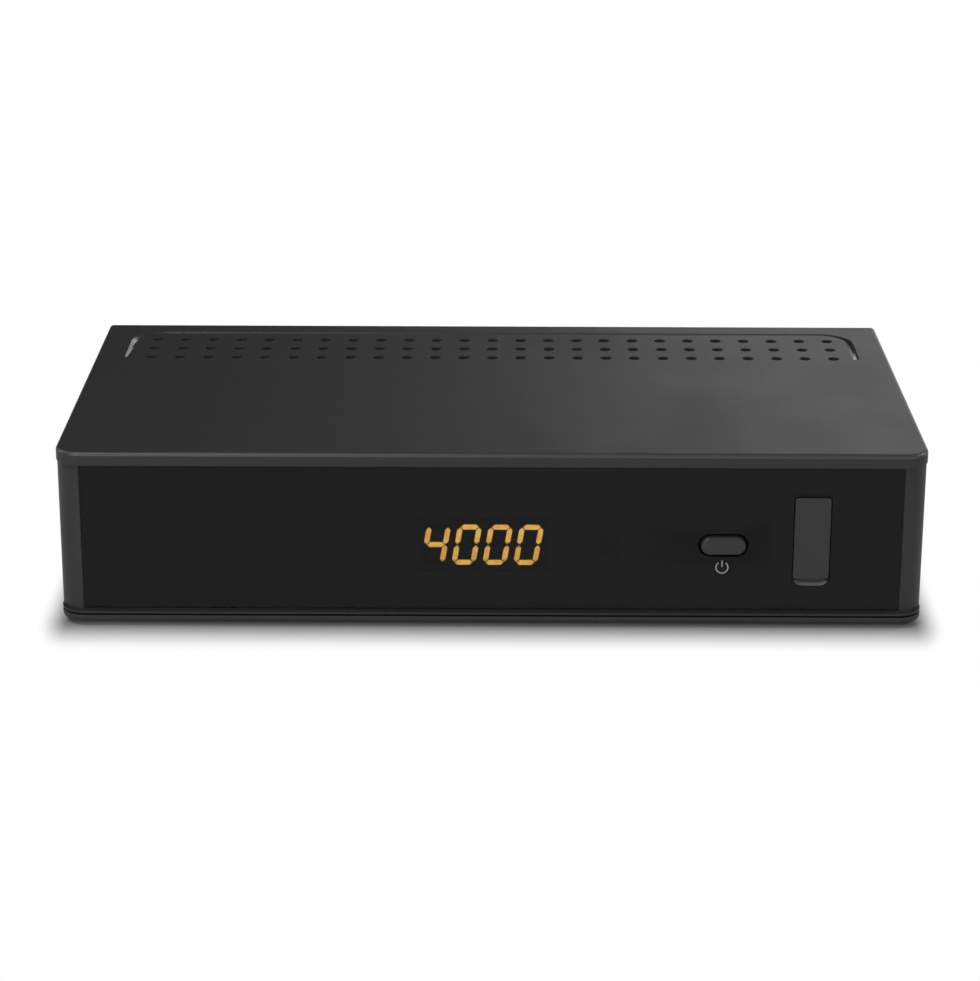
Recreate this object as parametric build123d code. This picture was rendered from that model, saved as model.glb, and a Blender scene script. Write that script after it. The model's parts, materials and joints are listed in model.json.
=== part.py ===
from build123d import *
import os
from math import radians, tan

# Satellite television receiver: a low moulded case on rubber feet, with a recessed gloss window in
# front, a standby button, a hinged cover over the USB socket and a steel panel of sockets behind.
# Millimetres. X runs across the front to the viewer's right, Y runs back and Z up.
# The origin is on the ground, in the middle of the box that holds the case and its rear ports.

# ---------------------------------------------------------------- driving dimensions
case_width = 220.0
case_depth = 117.0
case_height = 47.0
port_reach = 9.0            # how far the aerial ports stand out behind the case
foot_height = 1.5
foot_radius = 6.0
foot_seat = 0.6             # depth of the round seat that each foot is glued in
wall = 2.4                  # side walls of the cover and the fascia
floor_thickness = 1.8
lid_band = 3.7              # height of the lid's edge
lid_plate = 2.2
shadow_gap = 0.5            # open line under the lid and above the base
shadow_depth = 1.2
front_recess = 1.6          # the window stands this far behind the edges of lid and base
ledge_height = 0.5          # edge of the ledge under the window
corner_front = 6.5
corner_back = 1.5
lid_round = 1.0
base_round = 0.8

window_thickness = 1.0
window_half = 104.0
fascia_web = 2.0            # fascia wall behind the window
fascia_return = 12.0        # the fascia turns back along each side this far

panel_thickness = 1.0
panel_inset = 1.0           # the steel panel stands this far inside the back edge
panel_slot = 0.1            # play on each face of the panel in its slot
rib = 1.2

vent_columns = 25
vent_rows = 3
vent_pitch_x = 7.89
vent_pitch_y = 8.63
vent_radius = 1.5
vent_middle = 23.7          # middle row to the back edge
trim_groove_width = 1.3
trim_groove_depth = 0.7
trim_half = 101.0
trim_back = 8.4
trim_front = 32.4
trim_corner = 8.5

# ---------------------------------------------------------------- levels and planes worked out
half_width = case_width / 2
front = -(case_depth + port_reach) / 2
back = front + case_depth
inner_half = half_width - wall

base_bottom = foot_height
base_top = base_bottom + floor_thickness
body_bottom = base_top + shadow_gap
ledge_top = body_bottom + ledge_height
lid_bottom = case_height - lid_band
body_top = lid_bottom - shadow_gap
plate_bottom = case_height - lid_plate

window_front = front + front_recess
window_back = window_front + window_thickness
web_back = window_back + fascia_web
fascia_end = front + fascia_return
panel_back = back - panel_inset
panel_front = panel_back - panel_thickness

board_thickness = 1.6
board_bottom = 9.0
board_top = board_bottom + board_thickness
board_half = 96.0
board_front = front + 22.0
board_back = panel_front - 1.5

# Things behind the window
display_x = -2.4
display_z = 21.9
digit_pitch = 7.85
digit_height = 10.8
digit_width = 6.1
segment_width = 1.3
segment_gap = 0.16
digit_slant = radians(9.5)
display_depth = 7.2
display_size = (33.0, 14.4)
front_board_y = front + 18.5      # front face of the upright board
button_x = 58.7
button_z = 22.3
button_size = (11.5, 4.8)
button_play = 0.5
button_proud = 1.2
button_travel = 0.5
eye_x = 30.0
eye_z = 21.9
flap_x = 81.15
flap_size = (9.15, 21.8)
flap_bottom = 13.2
flap_play = 0.25
flap_thickness = 1.2
flap_axis_drop = 2.1              # hinge axis below the top edge of the flap
hinge_pin_radius = 0.5
hinge_play = 0.05
notch_depth = 1.6                 # finger notch under the flap
notch_slope = 35.0                # its wall leans back by this angle
usb_size = (7.0, 14.4)
usb_z = 23.0

# Things on the back panel: centres along X, and heights
lnb_in_x, lnb_out_x, lnb_z = 84.0, 64.0, 20.5
spdif_x, spdif_z = 46.5, 17.6
ethernet_x = 29.0
hdmi_x = 10.0
scart_x = -31.0
dc_x = -68.0
switch_x, switch_z = -88.0, 23.0

port_radius = 4.76                # three-eighths inch thread
rocker_tilt = 11.0

screw_x = 101.5                   # case screws, near the four corners
screw_front = front + 17.0
screw_back = back - 12.0
case_screw_radius = 1.5
case_screw_seat = 8.0             # depth of the counterbore that the head rests in, from the ground
case_boss_top = 16.0

# Small round things that repeat are drawn with flat sides.
screw_sides = 8                   # case screws, bosses, screw holes, vents and air holes
small_screw_sides = 6             # the shorter screws on the boards, and their holes
sleeve_sides = 16                 # feet, washers, insulators and other parts of sockets
pin_sides = 12                    # hinge pin, trunnions and capacitor cans


# ---------------------------------------------------------------- small helpers
def block(x0, x1, y0, y1, z0, z1):
    """A box between two corners."""
    place = Pos((x0 + x1) / 2, (y0 + y1) / 2, (z0 + z1) / 2)
    return place * Box(x1 - x0, y1 - y0, z1 - z0)


def rise(sketch, z0, z1):
    """A flat shape drawn in plan, made solid from height z0 to z1."""
    return extrude(Plane.XY.offset(z0) * sketch, amount=z1 - z0)


def run_back(sketch, y0, y1, taper=0.0):
    """A shape drawn as seen from the front (across, up), made solid from y0 back to y1."""
    face = Plane(origin=(0, y0, 0), x_dir=(1, 0, 0), z_dir=(0, -1, 0)) * sketch
    return extrude(face, amount=-(y1 - y0), taper=taper)


def run_across(sketch, x0, x1):
    """A shape drawn as seen from the side (back, up), made solid from x0 to x1."""
    face = Plane(origin=(x0, 0, 0), x_dir=(0, 1, 0), z_dir=(1, 0, 0)) * sketch
    return extrude(face, amount=x1 - x0)


def round_face(radius, sides):
    """A circle or, for small round things that repeat, a polygon of so many sides."""
    return RegularPolygon(radius, sides) if sides else Circle(radius)


def clipped(width, height, cut):
    """A rectangle with its corners cut off."""
    return chamfer(Rectangle(width, height).vertices(), cut)


def post(radius, x, y, z0, z1, sides=0):
    """An upright round bar."""
    return rise(Pos(x, y) * round_face(radius, sides), z0, z1)


def peg(radius, x, z, y0, y1, sides=0):
    """A round bar that runs front to back."""
    return run_back(Pos(x, z) * round_face(radius, sides), y0, y1)


def axle(radius, y, z, x0, x1, sides=0):
    """A round bar that runs across."""
    return run_across(Pos(y, z) * round_face(radius, sides), x0, x1)


def group(solids):
    """Separate solids that share one node."""
    return Compound(children=list(solids))


def case_outline(inset=0.0):
    """Plan of the case: well rounded at the front corners, only broken at the back ones."""
    middle = (front + back) / 2
    plan = Pos(0, middle) * Rectangle(case_width - 2 * inset, case_depth - 2 * inset)
    plan = fillet(plan.vertices().group_by(Axis.Y)[0], corner_front - inset)
    if corner_back > inset:
        plan = chamfer(plan.vertices().group_by(Axis.Y)[-1], corner_back - inset)
    return plan


def body_outline(inset=0.0):
    """Plan of the walls between lid and base, whose front stands back by the recess."""
    depth = case_depth - front_recess
    middle = (window_front + back) / 2
    plan = Pos(0, middle) * Rectangle(case_width - 2 * inset, depth - 2 * inset)
    return fillet(plan.vertices().group_by(Axis.Y)[0], corner_front - inset)


def pan_screw(shank_radius, length, head_radius, head_height, sides=screw_sides):
    """A screw that points up: the head's top lies at z = 0 and the shank rises from it."""
    screw = post(head_radius, 0, 0, 0, head_height, sides)
    return screw + post(shank_radius, 0, 0, head_height, head_height + length, sides)


# ---------------------------------------------------------------- case
def vent_centres():
    """Centres of the round vents: rows along the back of the lid."""
    for row in range(vent_rows):
        y = back - vent_middle + (row - (vent_rows - 1) / 2) * vent_pitch_y
        for column in range(vent_columns):
            yield (column - (vent_columns - 1) / 2) * vent_pitch_x, y


def trim_groove():
    """The U-shaped groove in the lid, round the back and both ends of the vent field."""
    y_front = back - trim_front
    y_back = back - trim_back
    corners = [(-trim_half, y_front), (-trim_half, y_back), (trim_half, y_back), (trim_half, y_front)]
    line = FilletPolyline(*corners, radius=trim_corner)
    path = trace(line, line_width=trim_groove_width)
    for side in (-1, 1):
        path += Pos(side * trim_half, y_front) * RegularPolygon(trim_groove_width / 2, screw_sides)
    return rise(path, case_height - trim_groove_depth, case_height + 1)


def case_screw_places():
    for x in (-screw_x, screw_x):
        for y in (screw_front, screw_back):
            yield x, y


def top_cover():
    """Lid and side walls in one moulding, with the vents, the groove and the screw bosses."""
    lid = rise(case_outline(), lid_bottom, case_height)
    lid = fillet(lid.faces().sort_by(Axis.Z)[-1].edges(), lid_round)
    lid -= rise(case_outline(wall), lid_bottom, plate_bottom)
    cover = lid
    for side in (-1, 1):
        outer = side * half_width
        inner = side * inner_half
        neck = side * (half_width - shadow_depth)
        x0, x1 = sorted((outer, inner))
        n0, n1 = sorted((neck, inner))
        cover += block(x0, x1, fascia_end + 0.2, back, body_bottom, body_top)
        cover += block(n0, n1, fascia_end + 0.2, back, body_top, lid_bottom)
    # Slot for the back panel: down both side walls and across under the lid.
    slot_half = inner_half + rib
    slot_front = panel_front - panel_slot
    cover -= block(-slot_half, slot_half, slot_front, panel_back + panel_slot, 0, plate_bottom)
    cover += block(-inner_half, inner_half, slot_front - rib, slot_front, plate_bottom - 3, plate_bottom)
    # A rib laps behind the fascia and closes the open line under the lid.
    lap = web_back + 0.3
    cover += block(-screw_x, screw_x, lap, lap + rib, plate_bottom - 5.2, plate_bottom)
    # Stiffening ribs under the plate.
    rib_end = back - trim_front - 6
    for x in (-60, -20, 20, 60):
        cover += block(x - rib / 2, x + rib / 2, lap + rib, rib_end, plate_bottom - 1.8, plate_bottom)
    for x, y in case_screw_places():
        cover += post(3.6, x, y, case_boss_top, plate_bottom, screw_sides)
        cover -= post(case_screw_radius, x, y, case_boss_top, case_boss_top + 11, screw_sides)
    cover -= trim_groove()
    vents = Sketch() + [Pos(x, y) * round_face(vent_radius, screw_sides) for x, y in vent_centres()]
    cover -= rise(vents, plate_bottom - 1, case_height + 1)
    # Card slot in the right side wall.
    cover -= block(inner_half - 1, half_width + 1, card_y0 - 0.3, card_y1 + 0.3, card_z - 1.1, card_z + 1.1)
    return cover


# Card slot: a 54 mm card goes in flat from the right-hand side.
card_width = 54.6
card_y0 = -36.3
card_y1 = card_y0 + card_width
card_z = board_top + 3.3


def base_tray():
    """Floor with the edge band, board pillars, screw bosses, air slots and foot seats."""
    tray = rise(case_outline(), base_bottom, base_top)
    tray = chamfer(tray.faces().sort_by(Axis.Z)[0].edges(), base_round)
    # Side lips that the cover's walls close over.
    lip_out = inner_half - 0.2
    lip_in = lip_out - 1.6
    rear_rib = panel_front - panel_slot
    for side in (-1, 1):
        x0, x1 = sorted((side * lip_out, side * lip_in))
        tray += block(x0, x1, fascia_end + 6, rear_rib - rib - 0.3, base_top, board_bottom)
    # The panel stands in a slot between a rib and the back lip.
    tray += block(-lip_in, lip_in, rear_rib - rib, rear_rib, base_top, base_top + 2.7)
    tray += block(-lip_in, lip_in, panel_back + panel_slot, back - 0.3, base_top, base_top + 1.4)
    # Bosses for the case screws, counterbored from below.
    for x, y in case_screw_places():
        tray += post(4.4, x, y, base_top, case_boss_top, screw_sides)
        tray -= post(1.8, x, y, base_bottom - 1, case_boss_top + 1, screw_sides)
        tray -= post(3.2, x, y, base_bottom - 1, case_screw_seat, screw_sides)
    # Pillars for the main board.
    for x, y in board_screw_places():
        tray += post(3.0, x, y, base_top, board_bottom, screw_sides)
        tray -= post(board_screw_radius, x, y, base_top + 0.6, board_bottom + 1, small_screw_sides)
    # Pads and catches that carry the fascia.
    for x in fascia_pads:
        tray += block(x - 4, x + 4, front + 5, front + 11, base_top, body_bottom)
    for x in fascia_arms:
        catch_y = arm_window_y + 0.2
        tray += block(x - 2.2, x + 2.2, catch_y, catch_y + 1.7, base_top, body_bottom + 1.2)
    # Seats for the feet.
    for x, y in foot_places():
        tray -= post(foot_radius, x, y, base_bottom - 1, base_bottom + foot_seat, sleeve_sides)
    # Air slots in two fields.
    slots = Sketch()
    for centre in (-45, 45):
        for step in range(air_slots):
            x = centre + (step - (air_slots - 1) / 2) * air_slot_pitch
            slots += Pos(x, air_slot_y) * Rectangle(air_slot_width, air_slot_length)
    tray -= rise(slots, base_bottom - 1, base_top + 1)
    return tray


air_slots = 7
air_slot_pitch = 7.2
air_slot_width = 2.2
air_slot_length = 34.0
air_slot_y = 8.0
fascia_pads = (-92, -46, 46, 92)
fascia_arms = (-69, 0, 69)
arm_window_y = front + 16.0
board_screw_radius = 1.25


def board_screw_places():
    for x in (-88.0, 0.0, 50.0):
        yield x, board_front + 4.5
    yield -76.0, board_back - 5.0
    yield 20.0, board_back - 24.0


def foot_places():
    for x in (-90.0, 90.0):
        for y in (front + 31.0, back - 28.0):
            yield x, y


def front_fascia():
    """Corner pillars, ledge and the wall that the window is glued on, in one moulding."""
    shell = rise(body_outline(), body_bottom, body_top)
    cavity = rise(body_outline(wall), body_bottom - 1, body_top + 1)
    shell -= cavity
    shell -= block(-half_width - 1, half_width + 1, fascia_end, back + 1, 0, case_height)
    inner = inner_half - 2.0
    shell += block(-inner, inner, window_front + 0.5, web_back, body_bottom, body_top)
    # Seat for the window, open at the top.
    shell -= block(-window_half, window_half, window_front - 1, window_back, ledge_top, body_top + 1)
    # Ledge under the window, out to the line of the lid's edge, and its flange inside.
    ledge = rise(case_outline(), body_bottom, ledge_top)
    ledge -= block(-half_width - 1, half_width + 1, fascia_end, back + 1, 0, case_height)
    ledge -= block(-inner_half, inner_half, web_back, back, 0, case_height)
    shell += ledge
    shell += block(-inner, inner, web_back, front + 12, body_bottom, body_bottom + 1.6)
    for x in fascia_arms:
        arm = block(x - 4, x + 4, front + 12, arm_window_y + 4, body_bottom, body_bottom + 1.6)
        arm -= block(x - 2.5, x + 2.5, arm_window_y, arm_window_y + 2.1, 0, board_bottom)
        shell += arm
    # Tongues that lap inside the cover's side walls.
    for side in (-1, 1):
        x0, x1 = sorted((side * (inner_half - 1.5), side * (inner_half - 0.1)))
        shell += block(x0, x1, fascia_end - 6, fascia_end + 4, board_top, body_top - 4)
        x0, x1 = sorted((side * (inner_half - 1.5), side * (inner_half + 0.1)))
        shell += block(x0, x1, fascia_end - 6, fascia_end, board_top, body_top - 4)
    # Display opening, remote-control eye, button guide and flap opening.
    wide, high = display_size
    opening = Pos(display_x, display_z) * Rectangle(wide + 0.4, high + 0.4)
    shell -= run_back(opening, window_front - 1, web_back + 1)
    shell -= peg(3.4, eye_x, eye_z, window_front - 1, web_back + 1, sleeve_sides)
    hole = button_hole()
    guide = Pos(button_x, button_z) * clipped(hole[0] + 2.4, hole[1] + 2.4, 1.8)
    shell += run_back(guide, web_back, web_back + 2.4)
    shell -= run_back(Pos(button_x, button_z) * SlotOverall(*hole), window_front - 1, web_back + 3)
    half = flap_size[0] / 2 + 0.3
    low, high = flap_bottom - 0.3, flap_top + 1.1
    shell -= block(flap_x - half, flap_x + half, window_front - 1, web_back + 1, low, high)
    # Holes for the ends of the hinge pin.
    reach = half + 2.2
    shell -= axle(hinge_pin_radius, hinge_y, hinge_z, flap_x - reach, flap_x + reach, pin_sides)
    # Posts that carry the upright board.
    for x, z in front_post_places():
        shell += peg(2.6, x, z, web_back, front_board_y, screw_sides)
        shell -= peg(front_screw_radius, x, z, front_board_y - 6, front_board_y + 1, small_screw_sides)
    return shell


flap_top = flap_bottom + flap_size[1]
hinge_y = window_back + fascia_web / 2
hinge_z = flap_top - flap_axis_drop
front_screw_radius = 1.0


def button_hole():
    return button_size[0] + 2 * button_play, button_size[1] + 2.2 * button_play


def front_post_places():
    for x in (-25.0, 44.0, 93.0):
        for z in (15.5, 35.0):
            if (x, z) != (44.0, 15.5):
                yield x, z


def front_window():
    """Gloss window that fills the front between the corner pillars."""
    pane = block(-window_half, window_half, window_front, window_back, ledge_top, body_top)
    hole = Pos(button_x, button_z) * SlotOverall(*button_hole())
    pane -= run_back(hole, window_front - 1, window_back + 1)
    half = flap_size[0] / 2 + flap_play
    low = flap_bottom - flap_play
    high = flap_top + flap_play
    pane -= block(flap_x - half, flap_x + half, window_front - 1, window_back + 1, low, high)
    # Room behind the top edge for the corner of the flap as it turns.
    relief = Polyline((window_front + 0.2, high - 0.1), (window_back + 0.1, high - 0.1),
                      (window_back + 0.1, high + 0.9), close=True)
    pane -= run_across(make_face(relief), flap_x - half, flap_x + half)
    # Finger notch: a shallow arc below the flap that slopes up to the front.
    radius = (half * half + notch_depth * notch_depth) / (2 * notch_depth)
    disc = Pos(flap_x, low + radius - notch_depth) * Circle(radius)
    disc &= Pos(flap_x, low) * Rectangle(2 * half, 2 * notch_depth)
    pane -= run_back(disc, window_front, window_back, taper=notch_slope)
    return pane


def rear_panel():
    """Sheet of 1 mm steel with a cut-out punched for each socket."""
    width = 2 * (inner_half + 1.0)
    low = base_top
    high = plate_bottom - 0.2
    sheet = Pos(0, (low + high) / 2) * Rectangle(width, high - low)
    holes = Sketch()
    for x in (lnb_in_x, lnb_out_x):
        holes += Pos(x, lnb_z) * RegularPolygon(port_radius + 0.1, sleeve_sides, major_radius=False)
    holes += Pos(spdif_x, spdif_z) * RegularPolygon(spdif_collar + 0.1, sleeve_sides, major_radius=False)
    holes += Pos(ethernet_x, board_top + ethernet_size[1] / 2) * Rectangle(
        ethernet_size[0] + 0.4, ethernet_size[1] + 0.4)
    holes += Pos(hdmi_x, hdmi_z) * Rectangle(hdmi_size[0] + 0.6, hdmi_size[1] + 0.6)
    holes += Pos(scart_x, scart_z) * scart_face(0.3)
    for side in (-1, 1):
        x = scart_x + side * scart_screw_reach
        holes += Pos(x, scart_z) * round_face(scart_screw_radius, screw_sides)
    holes += Pos(dc_x, board_top + dc_size[1] / 2) * Rectangle(dc_size[0] + 0.3, dc_size[1] + 0.3)
    holes += Pos(switch_x, switch_z) * Rectangle(switch_body[0] + 0.2, switch_body[1] + 0.2)
    # A row of air holes above the sockets.
    for column in range(12):
        holes += Pos(-22 + column * 6.0, 36.0) * round_face(1.6, screw_sides)
    return run_back(sheet - holes, panel_front, panel_back)


def rubber_feet():
    top = base_bottom + foot_seat
    return group(post(foot_radius, x, y, 0, top, sleeve_sides) for x, y in foot_places())


def case_screws():
    head = 2.2
    screw = pan_screw(case_screw_radius, 16.0, 2.8, head)
    return group(Pos(x, y, case_screw_seat - head) * screw for x, y in case_screw_places())


# ---------------------------------------------------------------- front controls
def power_button():
    """Rounded cap on a stem, with lugs that stop it behind the fascia."""
    face = window_front - button_proud
    cap = run_back(Pos(button_x, button_z) * SlotOverall(*button_size), face, button_lug_y)
    rim = cap.faces().sort_by(Axis.Y)[0].edges()
    cap = chamfer(rim, 0.45)
    lugs = run_back(Pos(button_x, button_z) * Rectangle(button_size[0] + 4.4, button_size[1]),
                    button_lug_y, button_lug_y + 1.4)
    stem = peg(1.6, button_x, button_z, button_lug_y + 1.4, plunger_front - 0.05, screw_sides)
    return cap + lugs + stem


button_lug_y = web_back + 2.5
tact_front = front_board_y - 3.6
plunger_front = tact_front - 0.8 - button_travel


def tact_switch():
    """Square key switch behind the button, on the upright board."""
    body = run_back(Pos(button_x, button_z) * Rectangle(6.2, 6.2), tact_front, front_board_y)
    return body - peg(1.8, button_x, button_z, tact_front - 1, tact_front + 1.6, sleeve_sides)


def tact_plunger():
    return peg(1.7, button_x, button_z, plunger_front, tact_front + 0.7, sleeve_sides)


def usb_flap():
    """Cover of the USB socket: a plate with a knuckle behind its top edge."""
    half = flap_size[0] / 2
    inside = window_front + flap_thickness
    plate = block(flap_x - half, flap_x + half, window_front, inside, flap_bottom, flap_top)
    upright = plate.edges().filter_by(Axis.Y).group_by(Axis.Z)[-1]
    plate = fillet(upright, 0.8)
    top_edge = plate.edges().filter_by(Axis.X).group_by(Axis.Z)[-1].sort_by(Axis.Y)[0]
    plate = chamfer([top_edge], 0.35)
    knuckle_half = half - 0.3
    knuckle = axle(0.95, hinge_y, hinge_z, flap_x - knuckle_half, flap_x + knuckle_half, sleeve_sides)
    neck = block(flap_x - knuckle_half, flap_x + knuckle_half, window_front + 0.6, hinge_y,
                 hinge_z - 0.95, hinge_z + 0.6)
    flap = plate + knuckle + neck
    bore = hinge_pin_radius + hinge_play
    flap -= axle(bore, hinge_y, hinge_z, flap_x - half - 1, flap_x + half + 1, sleeve_sides)
    # Rib near the bottom that clicks behind the window's edge.
    flap += block(flap_x - 2, flap_x + 2, inside, inside + 0.8, flap_bottom + 0.6, flap_bottom + 1.4)
    return flap


def flap_hinge_pin():
    reach = flap_size[0] / 2 + 0.3 + 2.0
    return axle(hinge_pin_radius, hinge_y, hinge_z, flap_x - reach, flap_x + reach, pin_sides)


def usb_shell():
    """Folded tin shell of the upright USB socket."""
    wide, high = usb_size
    outer = Pos(flap_x, usb_z) * Rectangle(wide, high)
    inner = Pos(flap_x, usb_z) * Rectangle(wide - 0.8, high - 0.8)
    shell = run_back(outer - inner, usb_front, front_board_y)
    return shell + run_back(inner, front_board_y - 1, front_board_y)


usb_front = web_back + 0.6


def usb_insert():
    """Plastic tongue of the USB socket with its back block."""
    wide, high = usb_size[0] - 0.8, usb_size[1] - 0.8
    rear = run_back(Pos(flap_x, usb_z) * Rectangle(wide, high), front_board_y - 2.4, front_board_y - 1)
    blade = Pos(flap_x - 1.1, usb_z) * Rectangle(1.8, 11.2)
    return rear + run_back(blade, usb_front + 1.0, front_board_y - 2.4)


def front_board():
    """Upright circuit board that carries display, eye, key switch and USB socket."""
    y0, y1 = front_board_y, front_board_y + board_thickness
    board = block(-31.0, 96.5, y0, y1, board_top + 1.2, 39.0)
    for x, z in front_post_places():
        board -= peg(1.3, x, z, y0 - 1, y1 + 1, screw_sides)
    return board


def front_board_screws():
    """Screws that go forward through the upright board into the fascia's posts."""
    screw = pan_screw(front_screw_radius, 5.5, 2.0, 1.4, small_screw_sides)
    back_face = front_board_y + board_thickness
    return group(Pos(x, back_face + 1.4, z) * Rot(90, 0, 0) * screw for x, z in front_post_places())


def display_body():
    """Four-digit numeric display, whose bars are pressed against the back of the window."""
    face = Pos(display_x, display_z) * Rectangle(*display_size)
    return run_back(face, window_back + segment_depth, window_back + display_depth)


segment_depth = 0.3
lit = {0: "bcfg", 1: "abcdef", 2: "abcdef", 3: "abcdef"}


def slanted(x, z):
    """Leans a point of a digit to the right, as display digits do."""
    return x + z * tan(digit_slant), z


def segment(digit, name):
    """Outline of one bar of a digit: a bar with pointed ends."""
    half_w = (digit_width - segment_width) / 2
    half_h = (digit_height - segment_width) / 2
    t = segment_width / 2
    g = segment_gap
    level = {"a": half_h, "g": 0.0, "d": -half_h}
    if name in level:
        z = level[name]
        end = half_w - g
        points = [(-end, z), (-end + t, z + t), (end - t, z + t), (end, z), (end - t, z - t),
                  (-end + t, z - t)]
    else:
        x = half_w if name in "bc" else -half_w
        low, high = (g, half_h - g) if name in "bf" else (-half_h + g, -g)
        points = [(x, low), (x + t, low + t), (x + t, high - t), (x, high), (x - t, high - t),
                  (x - t, low + t)]
    bar = make_face(Polyline(*[slanted(*p) for p in points], close=True))
    return Pos(display_x + (digit - 1.5) * digit_pitch, display_z) * bar


def segments(shown):
    """The clear bars of all digits that are lit, or those that are dark."""
    bars = []
    for digit in range(4):
        for name in "abcdefg":
            if (name in lit[digit]) == shown:
                bars.append(run_back(segment(digit, name), window_back, window_back + segment_depth))
    return group(bars)


def display_holder():
    """Spacer that holds the display off the upright board."""
    wide, high = display_size[0] - 2, display_size[1] - 2
    frame = Pos(display_x, display_z) * (Rectangle(wide, high) - Rectangle(wide - 3, high - 3))
    return run_back(frame, window_back + display_depth, front_board_y)


def remote_eye():
    """Infra-red receiver: a small block with a lens whose rim is broken, on three wires."""
    body = block(eye_x - 3.0, eye_x + 3.0, web_back + 0.6, web_back + 5.0, eye_z - 3.6, eye_z + 3.6)
    lens = peg(2.4, eye_x, eye_z, window_back + 0.1, web_back + 0.6, pin_sides)
    body += chamfer(lens.faces().sort_by(Axis.Y)[0].edges(), 0.9)
    for step in (-1, 0, 1):
        x = eye_x + step * 2.0
        body += block(x - 0.25, x + 0.25, web_back + 5.0, front_board_y, eye_z - 3.4, eye_z - 2.9)
    return body


def front_header():
    """Cable socket on the back of the upright board."""
    y = front_board_y + board_thickness
    return block(header_x - 9, header_x + 9, y, y + 5.0, header_z - 2.0, header_z + 2.0)


header_x = 15.0
header_z = 27.0
ribbon_half = 7.5
ribbon_thickness = 0.5
ribbon_radius = 9.0


def ribbon_cable():
    """Flat cable that bends from the upright board down to the main board."""
    y0 = front_board_y + board_thickness + 5.0
    centre_z = header_z - ribbon_radius
    inner = ribbon_radius - ribbon_thickness / 2
    outer = ribbon_radius + ribbon_thickness / 2
    bend = Circle(outer) - Circle(inner)
    bend &= Pos(outer / 2, outer / 2) * Rectangle(outer, outer)
    drop = centre_z - board_top - 5.0
    profile = Pos(y0, centre_z) * bend
    profile += Pos(y0 + ribbon_radius, centre_z - drop / 2) * Rectangle(ribbon_thickness, drop)
    return run_across(profile, header_x - ribbon_half, header_x + ribbon_half)


def main_header():
    """Cable socket on the main board under the ribbon."""
    y = front_board_y + board_thickness + 5.0 + ribbon_radius
    return block(header_x - 9, header_x + 9, y - 2.0, y + 2.0, board_top, board_top + 5.0)


# ---------------------------------------------------------------- main board and what it carries
def main_board():
    board = block(-board_half, board_half, board_front, board_back, board_bottom, board_top)
    for x, y in board_screw_places():
        board -= post(1.7, x, y, board_bottom - 1, board_top + 1, screw_sides)
    return board


def board_screws():
    screw = Rot(180, 0, 0) * pan_screw(board_screw_radius, 6.0, 2.6, 1.6, small_screw_sides)
    return group(Pos(x, y, board_top + 1.6) * screw for x, y in board_screw_places())


chip_x, chip_y, chip_size, chip_height = -12.0, -2.0, 27.0, 1.8
pad_height = 0.4


def main_chip():
    return rise(Pos(chip_x, chip_y) * Rectangle(chip_size, chip_size), board_top, board_top + chip_height)


def thermal_pad():
    low = board_top + chip_height
    return rise(Pos(chip_x, chip_y) * Rectangle(chip_size - 6, chip_size - 6), low, low + pad_height)


def heat_sink():
    """Finned aluminium cooler: a plate with upright fins, cut from an extruded bar."""
    half = 17.0
    low = board_top + chip_height + pad_height
    plate = 2.0
    fin = 1.0
    count = 9
    profile = Pos(chip_x, low + plate / 2) * Rectangle(2 * half, plate)
    for step in range(count):
        x = chip_x - half + fin / 2 + step * (2 * half - fin) / (count - 1)
        profile += Pos(x, low + plate + 4.0) * Rectangle(fin, 8.0)
    return run_back(profile, chip_y - half, chip_y + half)


def memory_chips():
    chips = [block(-46.0, -36.0, y - 6.0, y + 6.0, board_top, board_top + 1.2) for y in (-12.0, 6.0)]
    chips.append(block(14.0, 22.0, 10.0, 16.0, board_top, board_top + 1.6))
    return group(chips)


def crystal_can():
    return rise(Pos(20.0, -12.0) * clipped(11.0, 4.6, 1.4), board_top, board_top + 3.5)


bead_radius = 4.0       # cans from this radius up show the bead that is rolled in near the foot


def capacitors():
    """Electrolytic cans of the supply."""
    cans = []
    for x, y, radius, height in ((-84, 14, 5.0, 16.0), (-72, 14, 5.0, 16.0), (-60, 10, 4.0, 11.5),
                                 (-50, 24, 3.15, 11.0), (40, 20, 3.15, 7.0), (44, 8, 3.15, 7.0)):
        can = post(radius, x, y, board_top, board_top + height, pin_sides)
        if radius >= bead_radius:
            bead = post(radius + 1, x, y, board_top + 1.2, board_top + 1.8, pin_sides)
            can -= bead - post(radius - 0.3, x, y, board_top + 1.2, board_top + 1.8, pin_sides)
        cans.append(can)
    return group(cans)


def inductors():
    """Shielded chokes beside the capacitors."""
    coils = []
    for x, y in ((-84, -2), (-70, -2), (-84, -16)):
        coils.append(rise(Pos(x, y) * clipped(10.0, 10.0, 1.4), board_top, board_top + 5.0))
    return group(coils)


# ---------------------------------------------------------------- card reader
reader_x0 = 58.0
reader_x1 = inner_half - 0.2
reader_rail = 1.8
reader_gap = 1.6


def card_reader():
    """Plastic bed with side rails that a card slides along."""
    y0, y1 = card_y0 - reader_rail, card_y1 + reader_rail
    floor_top = card_z - reader_gap / 2
    bed = block(reader_x0, reader_x1, y0, y1, board_top, floor_top + reader_gap)
    bed -= block(reader_x0 + 2.0, reader_x1 + 1, card_y0, card_y1, floor_top, case_height)
    middle = (card_y0 + card_y1) / 2
    bed -= block(reader_x0 + 14, reader_x1 - 14, middle - 9, middle + 9, board_top - 1, floor_top + 1)
    return bed


def card_reader_lid():
    """Steel plate that keeps the card down on the contacts."""
    y0, y1 = card_y0 - reader_rail, card_y1 + reader_rail
    low = card_z + reader_gap / 2
    plate = block(reader_x0, reader_x1, y0, y1, low, low + 0.5)
    for y in (card_y0 + 10, card_y1 - 10):
        window = Pos((reader_x0 + reader_x1) / 2, y) * clipped(30.0, 8.0, 2.0)
        plate -= rise(window, low - 1, low + 1)
    return plate


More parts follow.
